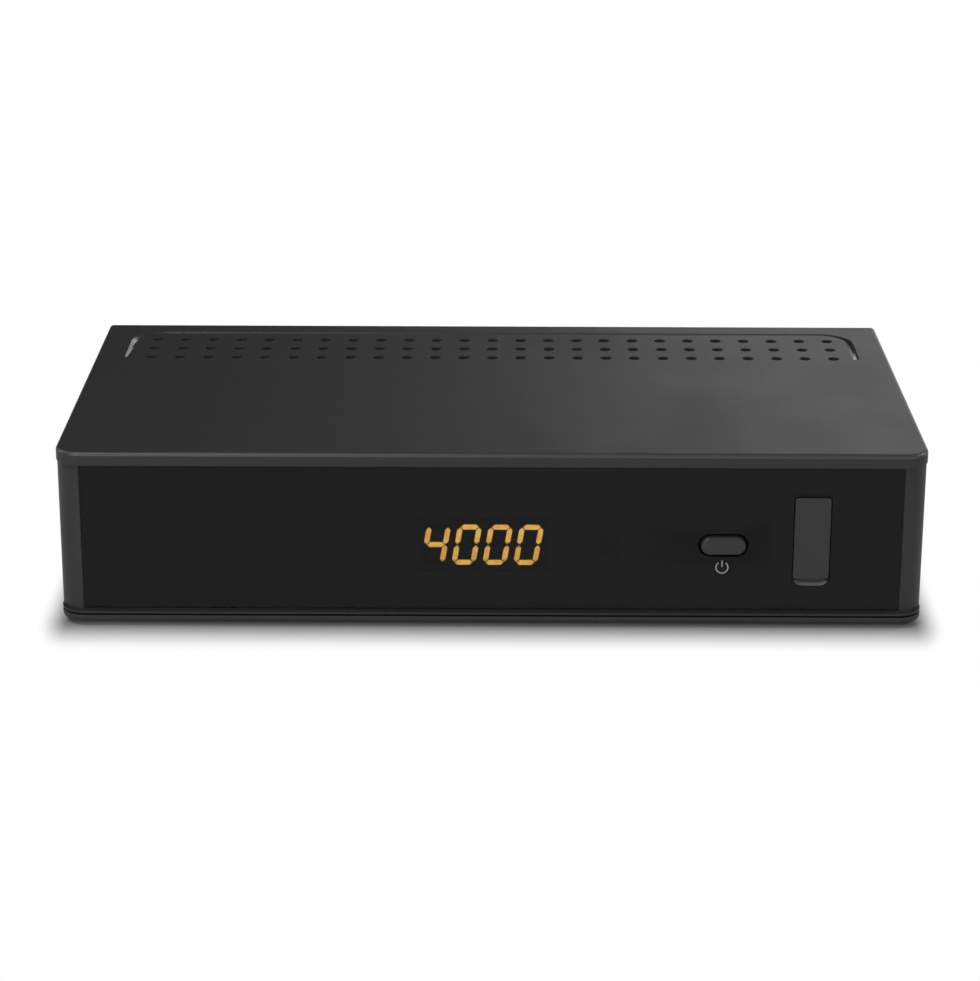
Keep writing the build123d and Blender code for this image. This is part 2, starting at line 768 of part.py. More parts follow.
def card_contacts():
    """Two rows of four sprung contacts, on a block in the bed's opening."""
    middle = (card_y0 + card_y1) / 2
    floor_top = card_z - reader_gap / 2
    carrier = block(reader_x0 + 15, reader_x1 - 15, middle - 8, middle + 8, board_top, floor_top - 0.6)
    springs = [carrier]
    for x in (reader_x0 + 18, reader_x1 - 22):
        for step in range(4):
            y = middle + (step - 1.5) * 3.6
            springs.append(block(x, x + 4.0, y - 0.6, y + 0.6, floor_top - 0.6, floor_top + 0.1))
    return group(springs)


# ---------------------------------------------------------------- aerial ports
tuner_x0, tuner_x1 = 52.0, 95.0
tuner_y0 = card_y1 + reader_rail + 2.2
tuner_y1 = panel_front - 2.5
tuner_top = board_top + 17.0


def tuner_can():
    """Tinned steel frame round the tuner, open on top for its lid."""
    sheet = 0.6
    low = board_top + sheet
    y0, y1 = tuner_y0 + sheet, tuner_y1 - sheet
    can = block(tuner_x0, tuner_x1, tuner_y0, tuner_y1, board_top, tuner_top)
    can -= block(tuner_x0 + sheet, tuner_x1 - sheet, y0, y1, low, tuner_top + 1)
    middle = (tuner_x0 + tuner_x1) / 2
    can += block(middle - sheet / 2, middle + sheet / 2, y0, y1, low, tuner_top)
    return can


def tuner_lid():
    """Pressed lid with two raised bosses."""
    lid = block(tuner_x0, tuner_x1, tuner_y0, tuner_y1, tuner_top, tuner_top + 0.6)
    middle = (tuner_y0 + tuner_y1) / 2
    for x in (tuner_x0 + 11, tuner_x1 - 11):
        lid += post(5.0, x, middle, tuner_top + 0.6, tuner_top + 1.2, sleeve_sides)
    return lid


def aerial_port(x):
    """Threaded barrel of an aerial socket, hollow for its insulator. Its thread starts after a relief."""
    end = back + port_reach
    nut_end = panel_back + washer_thickness + nut_thickness
    thread_start = nut_end + thread_relief
    root = Pos(x, lnb_z) * RegularPolygon(port_radius, sleeve_sides, major_radius=False)
    thread = peg(port_radius, x, lnb_z, thread_start, end)
    barrel = chamfer(thread.faces().sort_by(Axis.Y)[-1].edges(), 0.4)
    barrel += run_back(root, tuner_y1, nut_end)
    barrel += peg(port_radius - 0.4, x, lnb_z, nut_end, thread_start, sleeve_sides)
    return barrel - peg(insulator_radius, x, lnb_z, tuner_y1 - 1, end + 1, sleeve_sides)


def port_insulators():
    """White insulators with the hole that takes the cable's inner wire."""
    end = back + port_reach
    cores = []
    for x in (lnb_in_x, lnb_out_x):
        core = peg(insulator_radius, x, lnb_z, tuner_y1, end - 0.5, sleeve_sides)
        cores.append(core - peg(0.6, x, lnb_z, end - 7, end, screw_sides))
    return group(cores)


insulator_radius = 3.4
washer_thickness = 0.6
nut_thickness = 2.5
thread_relief = 0.5


def port_washers():
    rings = []
    for x in (lnb_in_x, lnb_out_x):
        ring = RegularPolygon(7.0, sleeve_sides)
        ring -= RegularPolygon(port_radius, sleeve_sides, major_radius=False)
        rings.append(run_back(Pos(x, lnb_z) * ring, panel_back, panel_back + washer_thickness))
    return group(rings)


def port_nuts():
    """Hexagon nuts that clamp the ports to the panel."""
    nuts = []
    low = panel_back + washer_thickness
    for x in (lnb_in_x, lnb_out_x):
        flats = RegularPolygon(5.5, 6, major_radius=False)
        flats -= RegularPolygon(port_radius, sleeve_sides, major_radius=False)
        nuts.append(run_back(Pos(x, lnb_z) * flats, low, low + nut_thickness))
    return group(nuts)


# ---------------------------------------------------------------- digital audio socket
spdif_collar = 4.9
spdif_radius = 4.15
spdif_root = 3.8                  # the sleeve's root, pressed into the collar
spdif_core = 3.2
spdif_end = back + 8.0


def spdif_body():
    """Moulded block of the coaxial audio socket, with the coloured collar in the panel."""
    x0, x1 = spdif_x - 5.2, spdif_x + 5.2
    body = block(x0, x1, panel_front - 11, panel_front - 0.1, board_top, spdif_z + 5.4)
    body += peg(spdif_collar, spdif_x, spdif_z, panel_front - 0.1, panel_back + 1.0, sleeve_sides)
    body -= peg(spdif_root, spdif_x, spdif_z, panel_back - 2.0, panel_back + 2, sleeve_sides)
    return body


def spdif_sleeve():
    """Plated sleeve that the audio plug slides over."""
    sleeve = peg(spdif_root, spdif_x, spdif_z, panel_back - 2.0, panel_back + 1.0, sleeve_sides)
    sleeve += peg(spdif_radius, spdif_x, spdif_z, panel_back + 1.0, spdif_end)
    return sleeve - peg(spdif_core, spdif_x, spdif_z, panel_back - 3, spdif_end + 1, sleeve_sides)


def spdif_insert():
    """Insulator in the sleeve, bored for the plug's pin."""
    core = peg(spdif_core, spdif_x, spdif_z, panel_back - 2.0, spdif_end - 0.6, sleeve_sides)
    return core - peg(1.65, spdif_x, spdif_z, panel_back - 1.0, spdif_end, pin_sides)


# ---------------------------------------------------------------- network socket
ethernet_size = (16.0, 13.6)
ethernet_y0 = panel_front - 15.0
ethernet_y1 = panel_back + 0.4


def ethernet_mouth():
    """Opening of the network socket: wide below, stepped above for the plug's latch."""
    z = board_top + 2.0
    mouth = Pos(ethernet_x, z + 3.5) * Rectangle(11.9, 7.0)
    mouth += Pos(ethernet_x, z + 7.7) * Rectangle(6.4, 1.6)
    mouth += Pos(ethernet_x, z + 8.9) * Rectangle(3.4, 1.2)
    return mouth


def ethernet_socket():
    wide, high = ethernet_size
    outer = Pos(ethernet_x, board_top + high / 2) * Rectangle(wide, high)
    shell = run_back(outer, ethernet_y0, ethernet_y1)
    shell -= run_back(ethernet_mouth(), ethernet_y1 - 12.0, ethernet_y1 + 1)
    for light in ethernet_light_bars():
        shell -= light
    return shell


def ethernet_light_bars():
    """Light guides above the corners of the mouth, flush with the socket's face."""
    z = board_top + ethernet_size[1] - 1.9
    for side in (-1, 1):
        face = Pos(ethernet_x + side * 5.9, z) * Rectangle(2.6, 2.2)
        yield run_back(face, ethernet_y1 - 2, ethernet_y1)


def ethernet_lights():
    """Two small light guides in the network socket."""
    return group(ethernet_light_bars())


def ethernet_contacts():
    """Eight gold wires along the floor of the mouth."""
    wires = []
    low = board_top + 2.0
    for step in range(8):
        x = ethernet_x + (step - 3.5) * 1.02
        wires.append(block(x - 0.2, x + 0.2, ethernet_y1 - 12.0, ethernet_y1 - 4.0, low, low + 0.8))
    return group(wires)


# ---------------------------------------------------------------- video socket
hdmi_size = (15.0, 5.9)
hdmi_z = board_top + 0.4 + hdmi_size[1] / 2
hdmi_y0 = panel_front - 12.0
hdmi_y1 = panel_back + 0.5


def hdmi_shape(inset):
    """Face of the video socket: a bar whose lower corners are cut away in steps."""
    w = hdmi_size[0] / 2 - inset
    h = hdmi_size[1] / 2 - inset
    points = [(-w, h), (w, h), (w, -h + 2.2), (w - 1.6, -h + 1.0), (w - 1.6, -h), (-w + 1.6, -h),
              (-w + 1.6, -h + 1.0), (-w, -h + 2.2)]
    return Pos(hdmi_x, hdmi_z) * make_face(Polyline(*points, close=True))


def hdmi_shell():
    tube = run_back(hdmi_shape(0.0) - hdmi_shape(0.5), hdmi_y0, hdmi_y1)
    for x in (hdmi_x - 4.9, hdmi_x + 4.9):
        tube += block(x - 1.0, x + 1.0, hdmi_y0 + 2, hdmi_y0 + 5, board_top, board_top + 0.4)
    return tube


def hdmi_tongue():
    block_back = run_back(hdmi_shape(0.5), hdmi_y0, hdmi_y0 + 3.0)
    blade = block(hdmi_x - 5.7, hdmi_x + 5.7, hdmi_y0 + 3.0, hdmi_y1 - 2.0, hdmi_z - 0.5, hdmi_z + 0.9)
    return block_back + blade


# ---------------------------------------------------------------- scart socket
scart_size = (46.6, 14.6)
scart_z = board_top + 9.0
scart_end = panel_back + 1.6
scart_screw_reach = 27.2
scart_screw_radius = 1.5


def scart_face(grow):
    """Lopsided face of the socket: one end is cut back at a slant."""
    w, h = scart_size[0] / 2 + grow, scart_size[1] / 2 + grow
    points = [(-w, -h), (w, -h), (w, h - 5.0), (w - 3.6, h), (-w, h)]
    return make_face(Polyline(*points, close=True))


def scart_socket():
    """Housing with a slot all round a core that holds two rows of contacts."""
    low, high = board_top, scart_z + scart_size[1] / 2 + 1.2
    half = scart_size[0] / 2 + 1.0
    house = block(scart_x - half, scart_x + half, panel_front - 15, panel_front - 0.1, low, high)
    for side in (-1, 1):
        ear = Pos(scart_x + side * scart_screw_reach, scart_z) * Rectangle(8.4, 10.0)
        house += run_back(ear, panel_front - 4.0, panel_front - 0.1)
    house += run_back(Pos(scart_x, scart_z) * scart_face(0.0), panel_front - 0.1, scart_end)
    ring = scart_face(-1.2) - scart_face(-2.3)
    house -= run_back(Pos(scart_x, scart_z) * ring, scart_end - 9.0, scart_end + 1)
    slots = Sketch()
    for column in range(10):
        slots += Pos(-17.6 + column * 3.81, 2.0) * Rectangle(1.3, 2.8)
        slots += Pos(-15.7 + column * 3.81, -2.6) * Rectangle(1.3, 2.8)
    house -= run_back(Pos(scart_x, scart_z) * slots, scart_end - 5.0, scart_end + 1)
    for side in (-1, 1):
        x = scart_x + side * scart_screw_reach
        house -= peg(scart_screw_radius, x, scart_z, panel_front - 5, panel_front + 1, screw_sides)
    return house


def scart_screws():
    head = 1.8
    screw = Rot(90, 0, 0) * pan_screw(scart_screw_radius, 5.0, 2.6, head)
    places = [Pos(scart_x + side * scart_screw_reach, panel_back + head, scart_z) for side in (-1, 1)]
    return group(place * screw for place in places)


# ---------------------------------------------------------------- power inlet and switch
dc_size = (9.0, 11.0)
dc_y0 = panel_front - 13.0
dc_y1 = panel_back + 0.4
dc_z = board_top + 6.5


def dc_jack():
    """Low-voltage inlet: a block bored for a barrel plug."""
    wide, high = dc_size
    body = block(dc_x - wide / 2, dc_x + wide / 2, dc_y0, dc_y1, board_top, board_top + high)
    body -= peg(3.15, dc_x, dc_z, dc_y1 - 9.5, dc_y1 + 1, sleeve_sides)
    return body


def dc_pin():
    return peg(1.05, dc_x, dc_z, dc_y1 - 9.5, dc_y1 - 0.8, sleeve_sides)


switch_bezel = (15.0, 21.0)
switch_body = (12.9, 18.8)
switch_front = panel_back + 1.8
rocker_half = 4.9
rocker_reach = 7.1
rocker_axis_y = panel_front - 1.0


def power_switch():
    """Snap-in housing of the rocker switch, with its rim outside the panel."""
    middle = Pos(switch_x, switch_z)
    house = run_back(middle * clipped(*switch_bezel, 1.0), panel_back, switch_front)
    house += run_back(middle * Rectangle(*switch_body), panel_front - 13, panel_back)
    well = middle * Rectangle(2 * rocker_half + 0.7, 16.6)
    house -= run_back(well, panel_front - 5.5, switch_front + 1)
    # Holes for the rocker's trunnions.
    reach = rocker_half + 1.2
    house -= axle(1.0, rocker_axis_y, switch_z, switch_x - reach, switch_x + reach, sleeve_sides)
    return house


def power_rocker():
    """Rocker with two faces that meet at a shallow angle, on trunnions in the housing."""
    y, z = rocker_axis_y, switch_z
    depth = switch_front - y
    points = [(depth - 0.4, 0.0), (depth + 1.0, rocker_reach), (-0.6, rocker_reach - 1.0), (-2.6, 0.0),
              (-0.6, -rocker_reach + 1.0), (depth + 1.0, -rocker_reach)]
    face = make_face(Polyline(*points, close=True))
    tipped = Pos(y, z) * Rot(0, 0, rocker_tilt) * face
    body = run_across(tipped, switch_x - rocker_half, switch_x + rocker_half)
    reach = rocker_half + 1.0
    return body + axle(0.95, y, z, switch_x - reach, switch_x + reach, pin_sides)


def switch_terminals():
    tabs = []
    for z in (switch_z - 5.0, switch_z + 5.0):
        tab = Pos(switch_x, z) * Rectangle(4.8, 0.8)
        tabs.append(run_back(tab, panel_front - 20, panel_front - 13))
    return group(tabs)


# ---------------------------------------------------------------- write every node
nodes = {
    "top_cover": top_cover,
    "base_tray": base_tray,
    "front_fascia": front_fascia,
    "front_window": front_window,
    "rear_panel": rear_panel,
    "rubber_feet": rubber_feet,
    "case_screws": case_screws,
    "power_button": power_button,
    "tact_switch": tact_switch,
    "tact_plunger": tact_plunger,
    "usb_flap": usb_flap,
    "flap_hinge_pin": flap_hinge_pin,
    "usb_shell": usb_shell,
    "usb_insert": usb_insert,
    "front_board": front_board,
    "front_board_screws": front_board_screws,
    "display_body": display_body,
    "display_segments_lit": lambda: segments(True),
    "display_segments_dark": lambda: segments(False),
    "display_holder": display_holder,
    "remote_eye": remote_eye,
    "front_header": front_header,
    "ribbon_cable": ribbon_cable,
    "main_header": main_header,
    "main_board": main_board,
    "board_screws": board_screws,
    "main_chip": main_chip,
    "thermal_pad": thermal_pad,
    "heat_sink": heat_sink,
    "memory_chips": memory_chips,
    "crystal_can": crystal_can,
    "capacitors": capacitors,
    "inductors": inductors,
    "card_reader": card_reader,
    "card_reader_lid": card_reader_lid,
    "card_contacts": card_contacts,
    "tuner_can": tuner_can,
    "tuner_lid": tuner_lid,
    "lnb_in_port": lambda: aerial_port(lnb_in_x),
    "lnb_out_port": lambda: aerial_port(lnb_out_x),
    "port_insulators": port_insulators,
    "port_washers": port_washers,
    "port_nuts": port_nuts,
    "spdif_body": spdif_body,
    "spdif_sleeve": spdif_sleeve,
    "spdif_insert": spdif_insert,
    "ethernet_socket": ethernet_socket,
    "ethernet_lights": ethernet_lights,
    "ethernet_contacts": ethernet_contacts,
    "hdmi_shell": hdmi_shell,
    "hdmi_tongue": hdmi_tongue,
    "scart_socket": scart_socket,
    "scart_screws": scart_screws,
    "dc_jack": dc_jack,
    "dc_pin": dc_pin,
    "power_switch": power_switch,
    "power_rocker": power_rocker,
    "switch_terminals": switch_terminals,
}

os.makedirs("parts", exist_ok=True)
for name, make in nodes.items():
    export_step(make(), "parts/" + name + ".step")
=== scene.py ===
# %% [markdown]
# # A satellite television receiver
# This is a low box of charcoal plastic, 220 mm wide, with a gloss black window across its front.
# Its construction is already done: the frame holds every part at its real size and place.
# This lesson gives the parts their looks. It rebuilds the pieces whose edges and curves the eye
# follows, and it gives each surface a finish that is worked out from the real material.

# %% Load the frame and keep its box
import json
import math

import bmesh
import bpy
from mathutils import Matrix, Vector


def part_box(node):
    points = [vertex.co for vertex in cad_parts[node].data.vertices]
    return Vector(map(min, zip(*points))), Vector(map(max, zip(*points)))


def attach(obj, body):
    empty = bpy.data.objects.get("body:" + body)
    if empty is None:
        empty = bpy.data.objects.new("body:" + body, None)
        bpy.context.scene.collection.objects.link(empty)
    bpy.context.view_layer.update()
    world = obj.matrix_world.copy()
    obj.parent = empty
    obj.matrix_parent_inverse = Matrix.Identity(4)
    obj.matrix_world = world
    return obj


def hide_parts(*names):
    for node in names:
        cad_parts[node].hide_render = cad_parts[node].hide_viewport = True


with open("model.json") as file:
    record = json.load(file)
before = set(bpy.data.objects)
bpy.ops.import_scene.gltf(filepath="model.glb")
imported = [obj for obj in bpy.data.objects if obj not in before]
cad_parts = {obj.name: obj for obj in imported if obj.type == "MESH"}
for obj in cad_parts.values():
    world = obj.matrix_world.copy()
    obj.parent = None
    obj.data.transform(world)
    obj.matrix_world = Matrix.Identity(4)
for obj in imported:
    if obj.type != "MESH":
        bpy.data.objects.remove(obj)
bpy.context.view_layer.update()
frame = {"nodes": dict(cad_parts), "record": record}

# %% [markdown]
# ## Working in millimetres
# Blender's unit here is the metre, and a maker thinks of this object in millimetres. So every shape
# is drawn in millimetres, and one function scales it when the mesh is made. Where the frame
# already knows a place, the place is read from the frame and isn't written a second time.

# %% Units and the planes of the case
MM = 0.001


def box_mm(node):
    """Lowest and highest corner of a part, in millimetres."""
    low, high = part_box(node)
    return Vector(low) / MM, Vector(high) / MM


def middle(node):
    """Where the middle of a part lies, across and up, in millimetres."""
    low, high = box_mm(node)
    return (low.x + high.x) / 2, (low.z + high.z) / 2


cover_low, cover_high = box_mm("top_cover")
window_low, window_high = box_mm("front_window")
half_width = cover_high.x
case_front = cover_low.y
case_back = cover_high.y
lid_top = cover_high.z
print("case, mm:", [round(v, 1) for v in (2 * half_width, case_back - case_front, lid_top)])

# %% [markdown]
# ## Colours and nodes
# A designer names a colour by its sRGB hex value, and the renderer counts in linear light, so one
# function converts between them. One more function adds any node, sets its properties and fills
# its inputs, either with a plain value or with a link. Both are used for every tree below.


# %% Helpers for colours and nodes
def colour(hex_value):
    """Linear colour, with alpha, of an sRGB hex value such as "#2b2c2e"."""
    parts = [int(hex_value[i:i + 2], 16) / 255 for i in (1, 3, 5)]
    linear = [p / 12.92 if p <= 0.04045 else ((p + 0.055) / 1.055) ** 2.4 for p in parts]
    return (*linear, 1.0)


def add_node(tree, kind, inputs=None, **settings):
    """Adds a node. Settings are its properties, and inputs are values or sockets to link."""
    node = tree.nodes.new(kind)
    for key, value in settings.items():
        setattr(node, key, value)
    for key, value in (inputs or {}).items():
        if isinstance(value, bpy.types.NodeSocket):
            tree.links.new(value, node.inputs[key])
        else:
            node.inputs[key].default_value = value
    return node


print("the colour of mid grey in linear light:", [round(v, 3) for v in colour("#808080")])

# %% [markdown]
# ## Patterns with a real size
# A noise texture's scale counts how many features fit in a metre, so it is worked out from the
# size of a real mark in millimetres. Object coordinates tie the pattern to the piece, so it
# travels with a part that moves.


# %% Helpers for materials
def new_material(name):
    """A material and its tree, which is empty."""
    material = bpy.data.materials.new(name)
    material.use_nodes = True
    material.node_tree.nodes.clear()
    return material, material.node_tree


def per_mm(size):
    """Scale of a noise texture, in Object coordinates, whose features are so many mm across."""
    return 1 / (size * MM)


def mottled(tree, low, high, size):
    """A value that wanders between low and high over patches of that size in mm."""
    place = add_node(tree, "ShaderNodeTexCoord").outputs["Object"]
    noise = add_node(tree, "ShaderNodeTexNoise", {
        "Vector": place, "Scale": per_mm(size), "Detail": 2.0})
    ramp = add_node(tree, "ShaderNodeMapRange", {
        "Value": noise.outputs["Fac"], "From Min": 0.3, "From Max": 0.7,
        "To Min": low, "To Max": high})
    return ramp.outputs["Result"]


print("scale of a 0.35 mm grain:", round(per_mm(0.35)))

# %% [markdown]
# ## Textured ABS
# The case, the fascia and the tray are moulded in ABS, dyed charcoal right through. The steel tool
# was spark-eroded, which leaves pits about 0.1 mm across, and the plastic takes them on as a fine,
# dry, matt skin. One noise texture at the grain's size gives the bumps, and a second
# one, 30 mm across, lets the sheen drift a little, as cooling does. The grain is drawn
# 0.35 mm across, coarser than life, because a finer one wouldn't show.

# %% Textured ABS for the case
GRAIN_MM = 0.35
DRIFT_MM = 30.0
DRIFT = 0.03                     # how much rougher or smoother the drift makes it


def textured_abs(name, dark, light, roughness, grain_depth):
    """Moulded ABS with a spark-eroded grain."""
    material, tree = new_material(name)
    place = add_node(tree, "ShaderNodeTexCoord").outputs["Object"]
    grain = add_node(tree, "ShaderNodeTexNoise", {
        "Vector": place, "Scale": per_mm(GRAIN_MM), "Detail": 3.0, "Roughness": 0.6}).outputs["Fac"]
    tone = add_node(tree, "ShaderNodeMix", {
        "Factor": grain, 6: colour(dark), 7: colour(light)}, data_type="RGBA").outputs[2]
    pits = add_node(tree, "ShaderNodeBump", {
        "Height": grain, "Distance": grain_depth * MM, "Strength": 1.0})
    shader = add_node(tree, "ShaderNodeBsdfPrincipled", {
        "Base Color": tone, "Roughness": mottled(tree, roughness - DRIFT, roughness + DRIFT, DRIFT_MM),
        "Specular IOR Level": 0.2, "Normal": pits.outputs["Normal"]})
    add_node(tree, "ShaderNodeOutputMaterial", {"Surface": shader.outputs["BSDF"]})
    return material


# The case is dry and matt. The button and the flap have half its grain and a low satin sheen.
case_abs = textured_abs("abs_charcoal_spark_textured", "#1a1a1b", "#222223", 0.56, 0.03)
control_abs = textured_abs("abs_charcoal_satin", "#1f1f20", "#252526", 0.40, 0.012)
print("textured plastics:", case_abs.name, control_abs.name)

# %% [markdown]
# ## Smoked acrylic
# The window is a sheet of acrylic, dyed so dark that only the lit display shines through. It is
# polished, so its reflection is sharp, and a sheet of acrylic is never quite flat: a very shallow
# ripple, 25 mm long, keeps the reflection from being that of perfect glass. Acrylic has an index
# of 1.49. It is set lower here, because this window mirrors hardly any of the room.

# %% Smoked acrylic for the window
smoked_acrylic, tree = new_material("acrylic_smoked_polished")
ripple = add_node(tree, "ShaderNodeBump", {
    "Height": mottled(tree, 0.0, 1.0, 25.0), "Distance": 0.01 * MM, "Strength": 1.0})
shader = add_node(tree, "ShaderNodeBsdfPrincipled", {
    "Base Color": colour("#5a5450"), "Roughness": mottled(tree, 0.04, 0.07, 40.0), "IOR": 1.25,
    "Transmission Weight": 1.0, "Normal": ripple.outputs["Normal"]})
add_node(tree, "ShaderNodeOutputMaterial", {"Surface": shader.outputs["BSDF"]})
print("materials so far:", len(bpy.data.materials))

# %% [markdown]
# ## Plainer finishes
# The other materials are simple to the eye, and differ in colour, gloss and in the size and depth
# of their marks. One function makes them all from those real values. The marks of a sheet that was
# rolled, brushed or extruded are stretched along the direction in which it was worked.


# %% One function for the plainer finishes
def finish(name, dark, light, roughness, mark_mm, depth=0.0, metallic=0.0, along=(1, 1, 1), level=0.5):
    """A finish between two tones, with marks of a size and depth in mm, stretched along an axis."""
    material, tree = new_material(name)
    place = add_node(tree, "ShaderNodeTexCoord").outputs["Object"]
    place = add_node(tree, "ShaderNodeMapping", {"Vector": place, "Scale": along}).outputs["Vector"]
    marks = add_node(tree, "ShaderNodeTexNoise", {
        "Vector": place, "Scale": per_mm(mark_mm), "Detail": 3.0}).outputs["Fac"]
    gloss = add_node(tree, "ShaderNodeMapRange", {
        "Value": marks, "To Min": roughness - 0.06, "To Max": roughness + 0.06}).outputs["Result"]
    tone = add_node(tree, "ShaderNodeMix", {
        "Factor": marks, 6: colour(dark), 7: colour(light)}, data_type="RGBA").outputs[2]
    inputs = {"Base Color": tone, "Roughness": gloss, "Metallic": metallic}
    if not metallic:
        inputs["Specular IOR Level"] = level
    if depth:
        relief = add_node(tree, "ShaderNodeBump", {
            "Height": marks, "Distance": depth * MM, "Strength": 1.0})
        inputs["Normal"] = relief.outputs["Normal"]
    shader = add_node(tree, "ShaderNodeBsdfPrincipled", inputs)
    add_node(tree, "ShaderNodeOutputMaterial", {"Surface": shader.outputs["BSDF"]})
    return material


WORKED_ACROSS = (0.05, 1, 1)     # marks drawn out along X
WORKED_BACK = (1, 0.05, 1)       # marks drawn out along Y
print("marks are drawn out by a factor of", round(1 / WORKED_ACROSS[0]))

# %% Rubber, steel and plated metal
# Moulded rubber is so matt that its edges hardly show.
foot_rubber = finish("rubber_black_moulded", "#161616", "#1f1f1e", 0.82, 0.6, 0.03, level=0.3)
# Powder coat flows out into a faint orange peel, 0.7 mm across.
powder_coat = finish("steel_powder_coated_black", "#1d1d1e", "#232324", 0.46, 0.7, 0.035)
# Zinc plating is a cool grey with a dull gleam, and black zinc the same under a dark dye.
zinc_plate = finish("steel_zinc_plated", "#9a9ca0", "#b4b6ba", 0.36, 0.8, 0.004, 1.0)
black_zinc = finish("steel_black_zinc", "#232326", "#323236", 0.38, 0.5, 0.004, 1.0)
# Tinned sheet shows the fine lines of the rolling mill.
tin_sheet = finish("steel_tinned_rolled", "#a6a7a8", "#bcbdbd", 0.30, 0.5, 0.003, 1.0, WORKED_ACROSS)
# Nickel on turned brass is bright and a little warm, and a gold flash on copper is yellow.
nickel_plate = finish("brass_nickel_plated", "#b3aea2", "#c9c5ba", 0.20, 0.8, 0.002, 1.0)
gold_flash = finish("copper_gold_flashed", "#c79a3d", "#e0b65a", 0.24, 0.5, 0.001, 1.0)
# Extruded aluminium has soft streaks along the fins.
fin_aluminium = finish("aluminium_extruded", "#8f9193", "#a9abad", 0.38, 0.4, 0.01, 1.0, WORKED_BACK)
print("materials so far:", len(bpy.data.materials))

# %% Plastics of the sockets and small parts
# Turned PTFE is a warm white with faint tool marks, and the orange ABS marks the audio socket.
white_insulator = finish("ptfe_white_turned", "#d9d6cc", "#e6e4dd", 0.5, 1.2, 0.006)
orange_insulator = finish("abs_orange_moulded", "#c4541a", "#d8641f", 0.42, 1.5, 0.004)
# Sockets are moulded in PBT with a satin skin. The rocker's nylon is polished for the finger.
black_moulding = finish("pbt_black_moulded", "#131314", "#1b1b1c", 0.42, 0.5, 0.01)
rocker_gloss = finish("nylon_black_polished", "#101011", "#161617", 0.24, 2.0, 0.002)
# The boards' lacquer is glossy, and lies in waves over the tracks below it.
board_green = finish("laminate_green_lacquer", "#0d3b22", "#15502f", 0.3, 2.2, 0.02, along=(1, 0.2, 1))
chip_epoxy = finish("epoxy_black_moulded", "#161617", "#202021", 0.6, 0.3, 0.01)
# The pad under the heat sink is a soft, chalky silicone, and capacitors wear a shrunk sleeve.
thermal_silicone = finish("silicone_grey_blue", "#7f8893", "#8f98a3", 0.85, 0.8, 0.03)
capacitor_sleeve = finish("pvc_shrunk_dark_blue", "#12141f", "#191c2a", 0.3, 3.0, 0.01)
# The display's block and its unlit bars are nearly the same black, so that only lit bars show.
display_black = finish("epoxy_display_black", "#070707", "#0a0a0a", 0.5, 0.6, 0.004)
dark_segment = finish("epoxy_segment_unlit", "#0c0a08", "#100d0a", 0.5, 0.6, 0.004)
# The eye for the remote control is glossy epoxy that lets only infrared through.
eye_epoxy = finish("epoxy_infrared_black", "#0e0a10", "#151017", 0.15, 2.0, 0.001)
# The flat cable has fine lines along its wires, and the network socket's lights are clear acrylic.
cable_film = finish("polyester_ribbon_white", "#b9bab8", "#d2d3d0", 0.4, 1.0, 0.05,
                    along=(1, 0.03, 0.03))
light_guide = finish("acrylic_light_guide", "#9fae9a", "#b4c2ae", 0.2, 1.5, 0.002)
print("materials so far:", len(bpy.data.materials))

# %% [markdown]
# ## Lit segments
# A lit bar of the display is clear epoxy over a small amber chip, and its amber wanders between a
# deeper and a paler tone in patches about 1.2 mm across. It gives off light, and the window in front
# of it takes about nine tenths of that away, so it is much stronger than it looks.

# %% Lit segments
lit_segment, tree = new_material("epoxy_segment_lit_amber")
glow = add_node(tree, "ShaderNodeMix", {
    "Factor": mottled(tree, 0.0, 1.0, 1.2), 6: colour("#e7ad47"), 7: colour("#f2ce73")},
    data_type="RGBA").outputs[2]
shader = add_node(tree, "ShaderNodeBsdfPrincipled", {
    "Base Color": colour("#8a6a3a"), "Roughness": 0.4,
    "Emission Color": glow, "Emission Strength": 2.4})
add_node(tree, "ShaderNodeOutputMaterial", {"Surface": shader.outputs["BSDF"]})
print("lit bars:", lit_segment.name)

# %% [markdown]
# ## A finish for each part
# The record names a material slot for each part, and this table gives each slot its finish. Parts
# whose shape is right as it came keep their mesh and only take the finish.

# %% Give every part its finish
slot_finish = {
    "case_abs": case_abs, "window_acrylic": smoked_acrylic, "control_abs": control_abs,
    "foot_rubber": foot_rubber, "painted_steel": powder_coat, "zinc_steel": zinc_plate,
    "black_steel": black_zinc, "tinned_steel": tin_sheet, "nickel_plate": nickel_plate,
    "gold_plate": gold_flash, "white_insulator": white_insulator, "orange_insulator": orange_insulator,
    "black_moulding": black_moulding, "board_laminate": board_green, "chip_resin": chip_epoxy,
    "thermal_silicone": thermal_silicone, "finned_aluminium": fin_aluminium,
    "capacitor_sleeve": capacitor_sleeve, "display_resin": display_black, "lit_segment": lit_segment,
    "dark_segment": dark_segment, "eye_resin": eye_epoxy, "cable_film": cable_film,
    "light_guide": light_guide}
record = frame["record"]
slot_of = {part["node"]: part["material_slot"] for part in record["subparts"]}
body_of = {node: body for body, nodes in record["behaviour"]["bodies"].items() for node in nodes}
for name, node in frame["nodes"].items():
    node.data.materials.clear()
    node.data.materials.append(slot_finish[slot_of[name]])
frame["nodes"]["power_rocker"].data.materials[0] = rocker_gloss
print("finishes given:", len(frame["nodes"]))

# %% [markdown]
# ## Shapes from rings
# Most pieces here are skins that pass through a row of closed rings: a rounded outline that
# shrinks as it climbs gives a lid with a soft edge, and a circle that grows and shrinks gives a
# turned part. So one function joins rings, and a few more draw outlines. Each piece is closed,
# its doubles are merged, and its faces are turned outwards when it is made.

# %% Outlines, as lists of points in millimetres
CORNER_STEPS = 10
LEAST_RADIUS = 0.05              # a corner never closes to a point


def arc(centre, radius, start, end, steps):
    """Points on an arc, from one angle in degrees to another."""
    angles = [math.radians(start + (end - start) * i / steps) for i in range(steps + 1)]
    return [(centre[0] + radius * math.cos(a), centre[1] + radius * math.sin(a)) for a in angles]


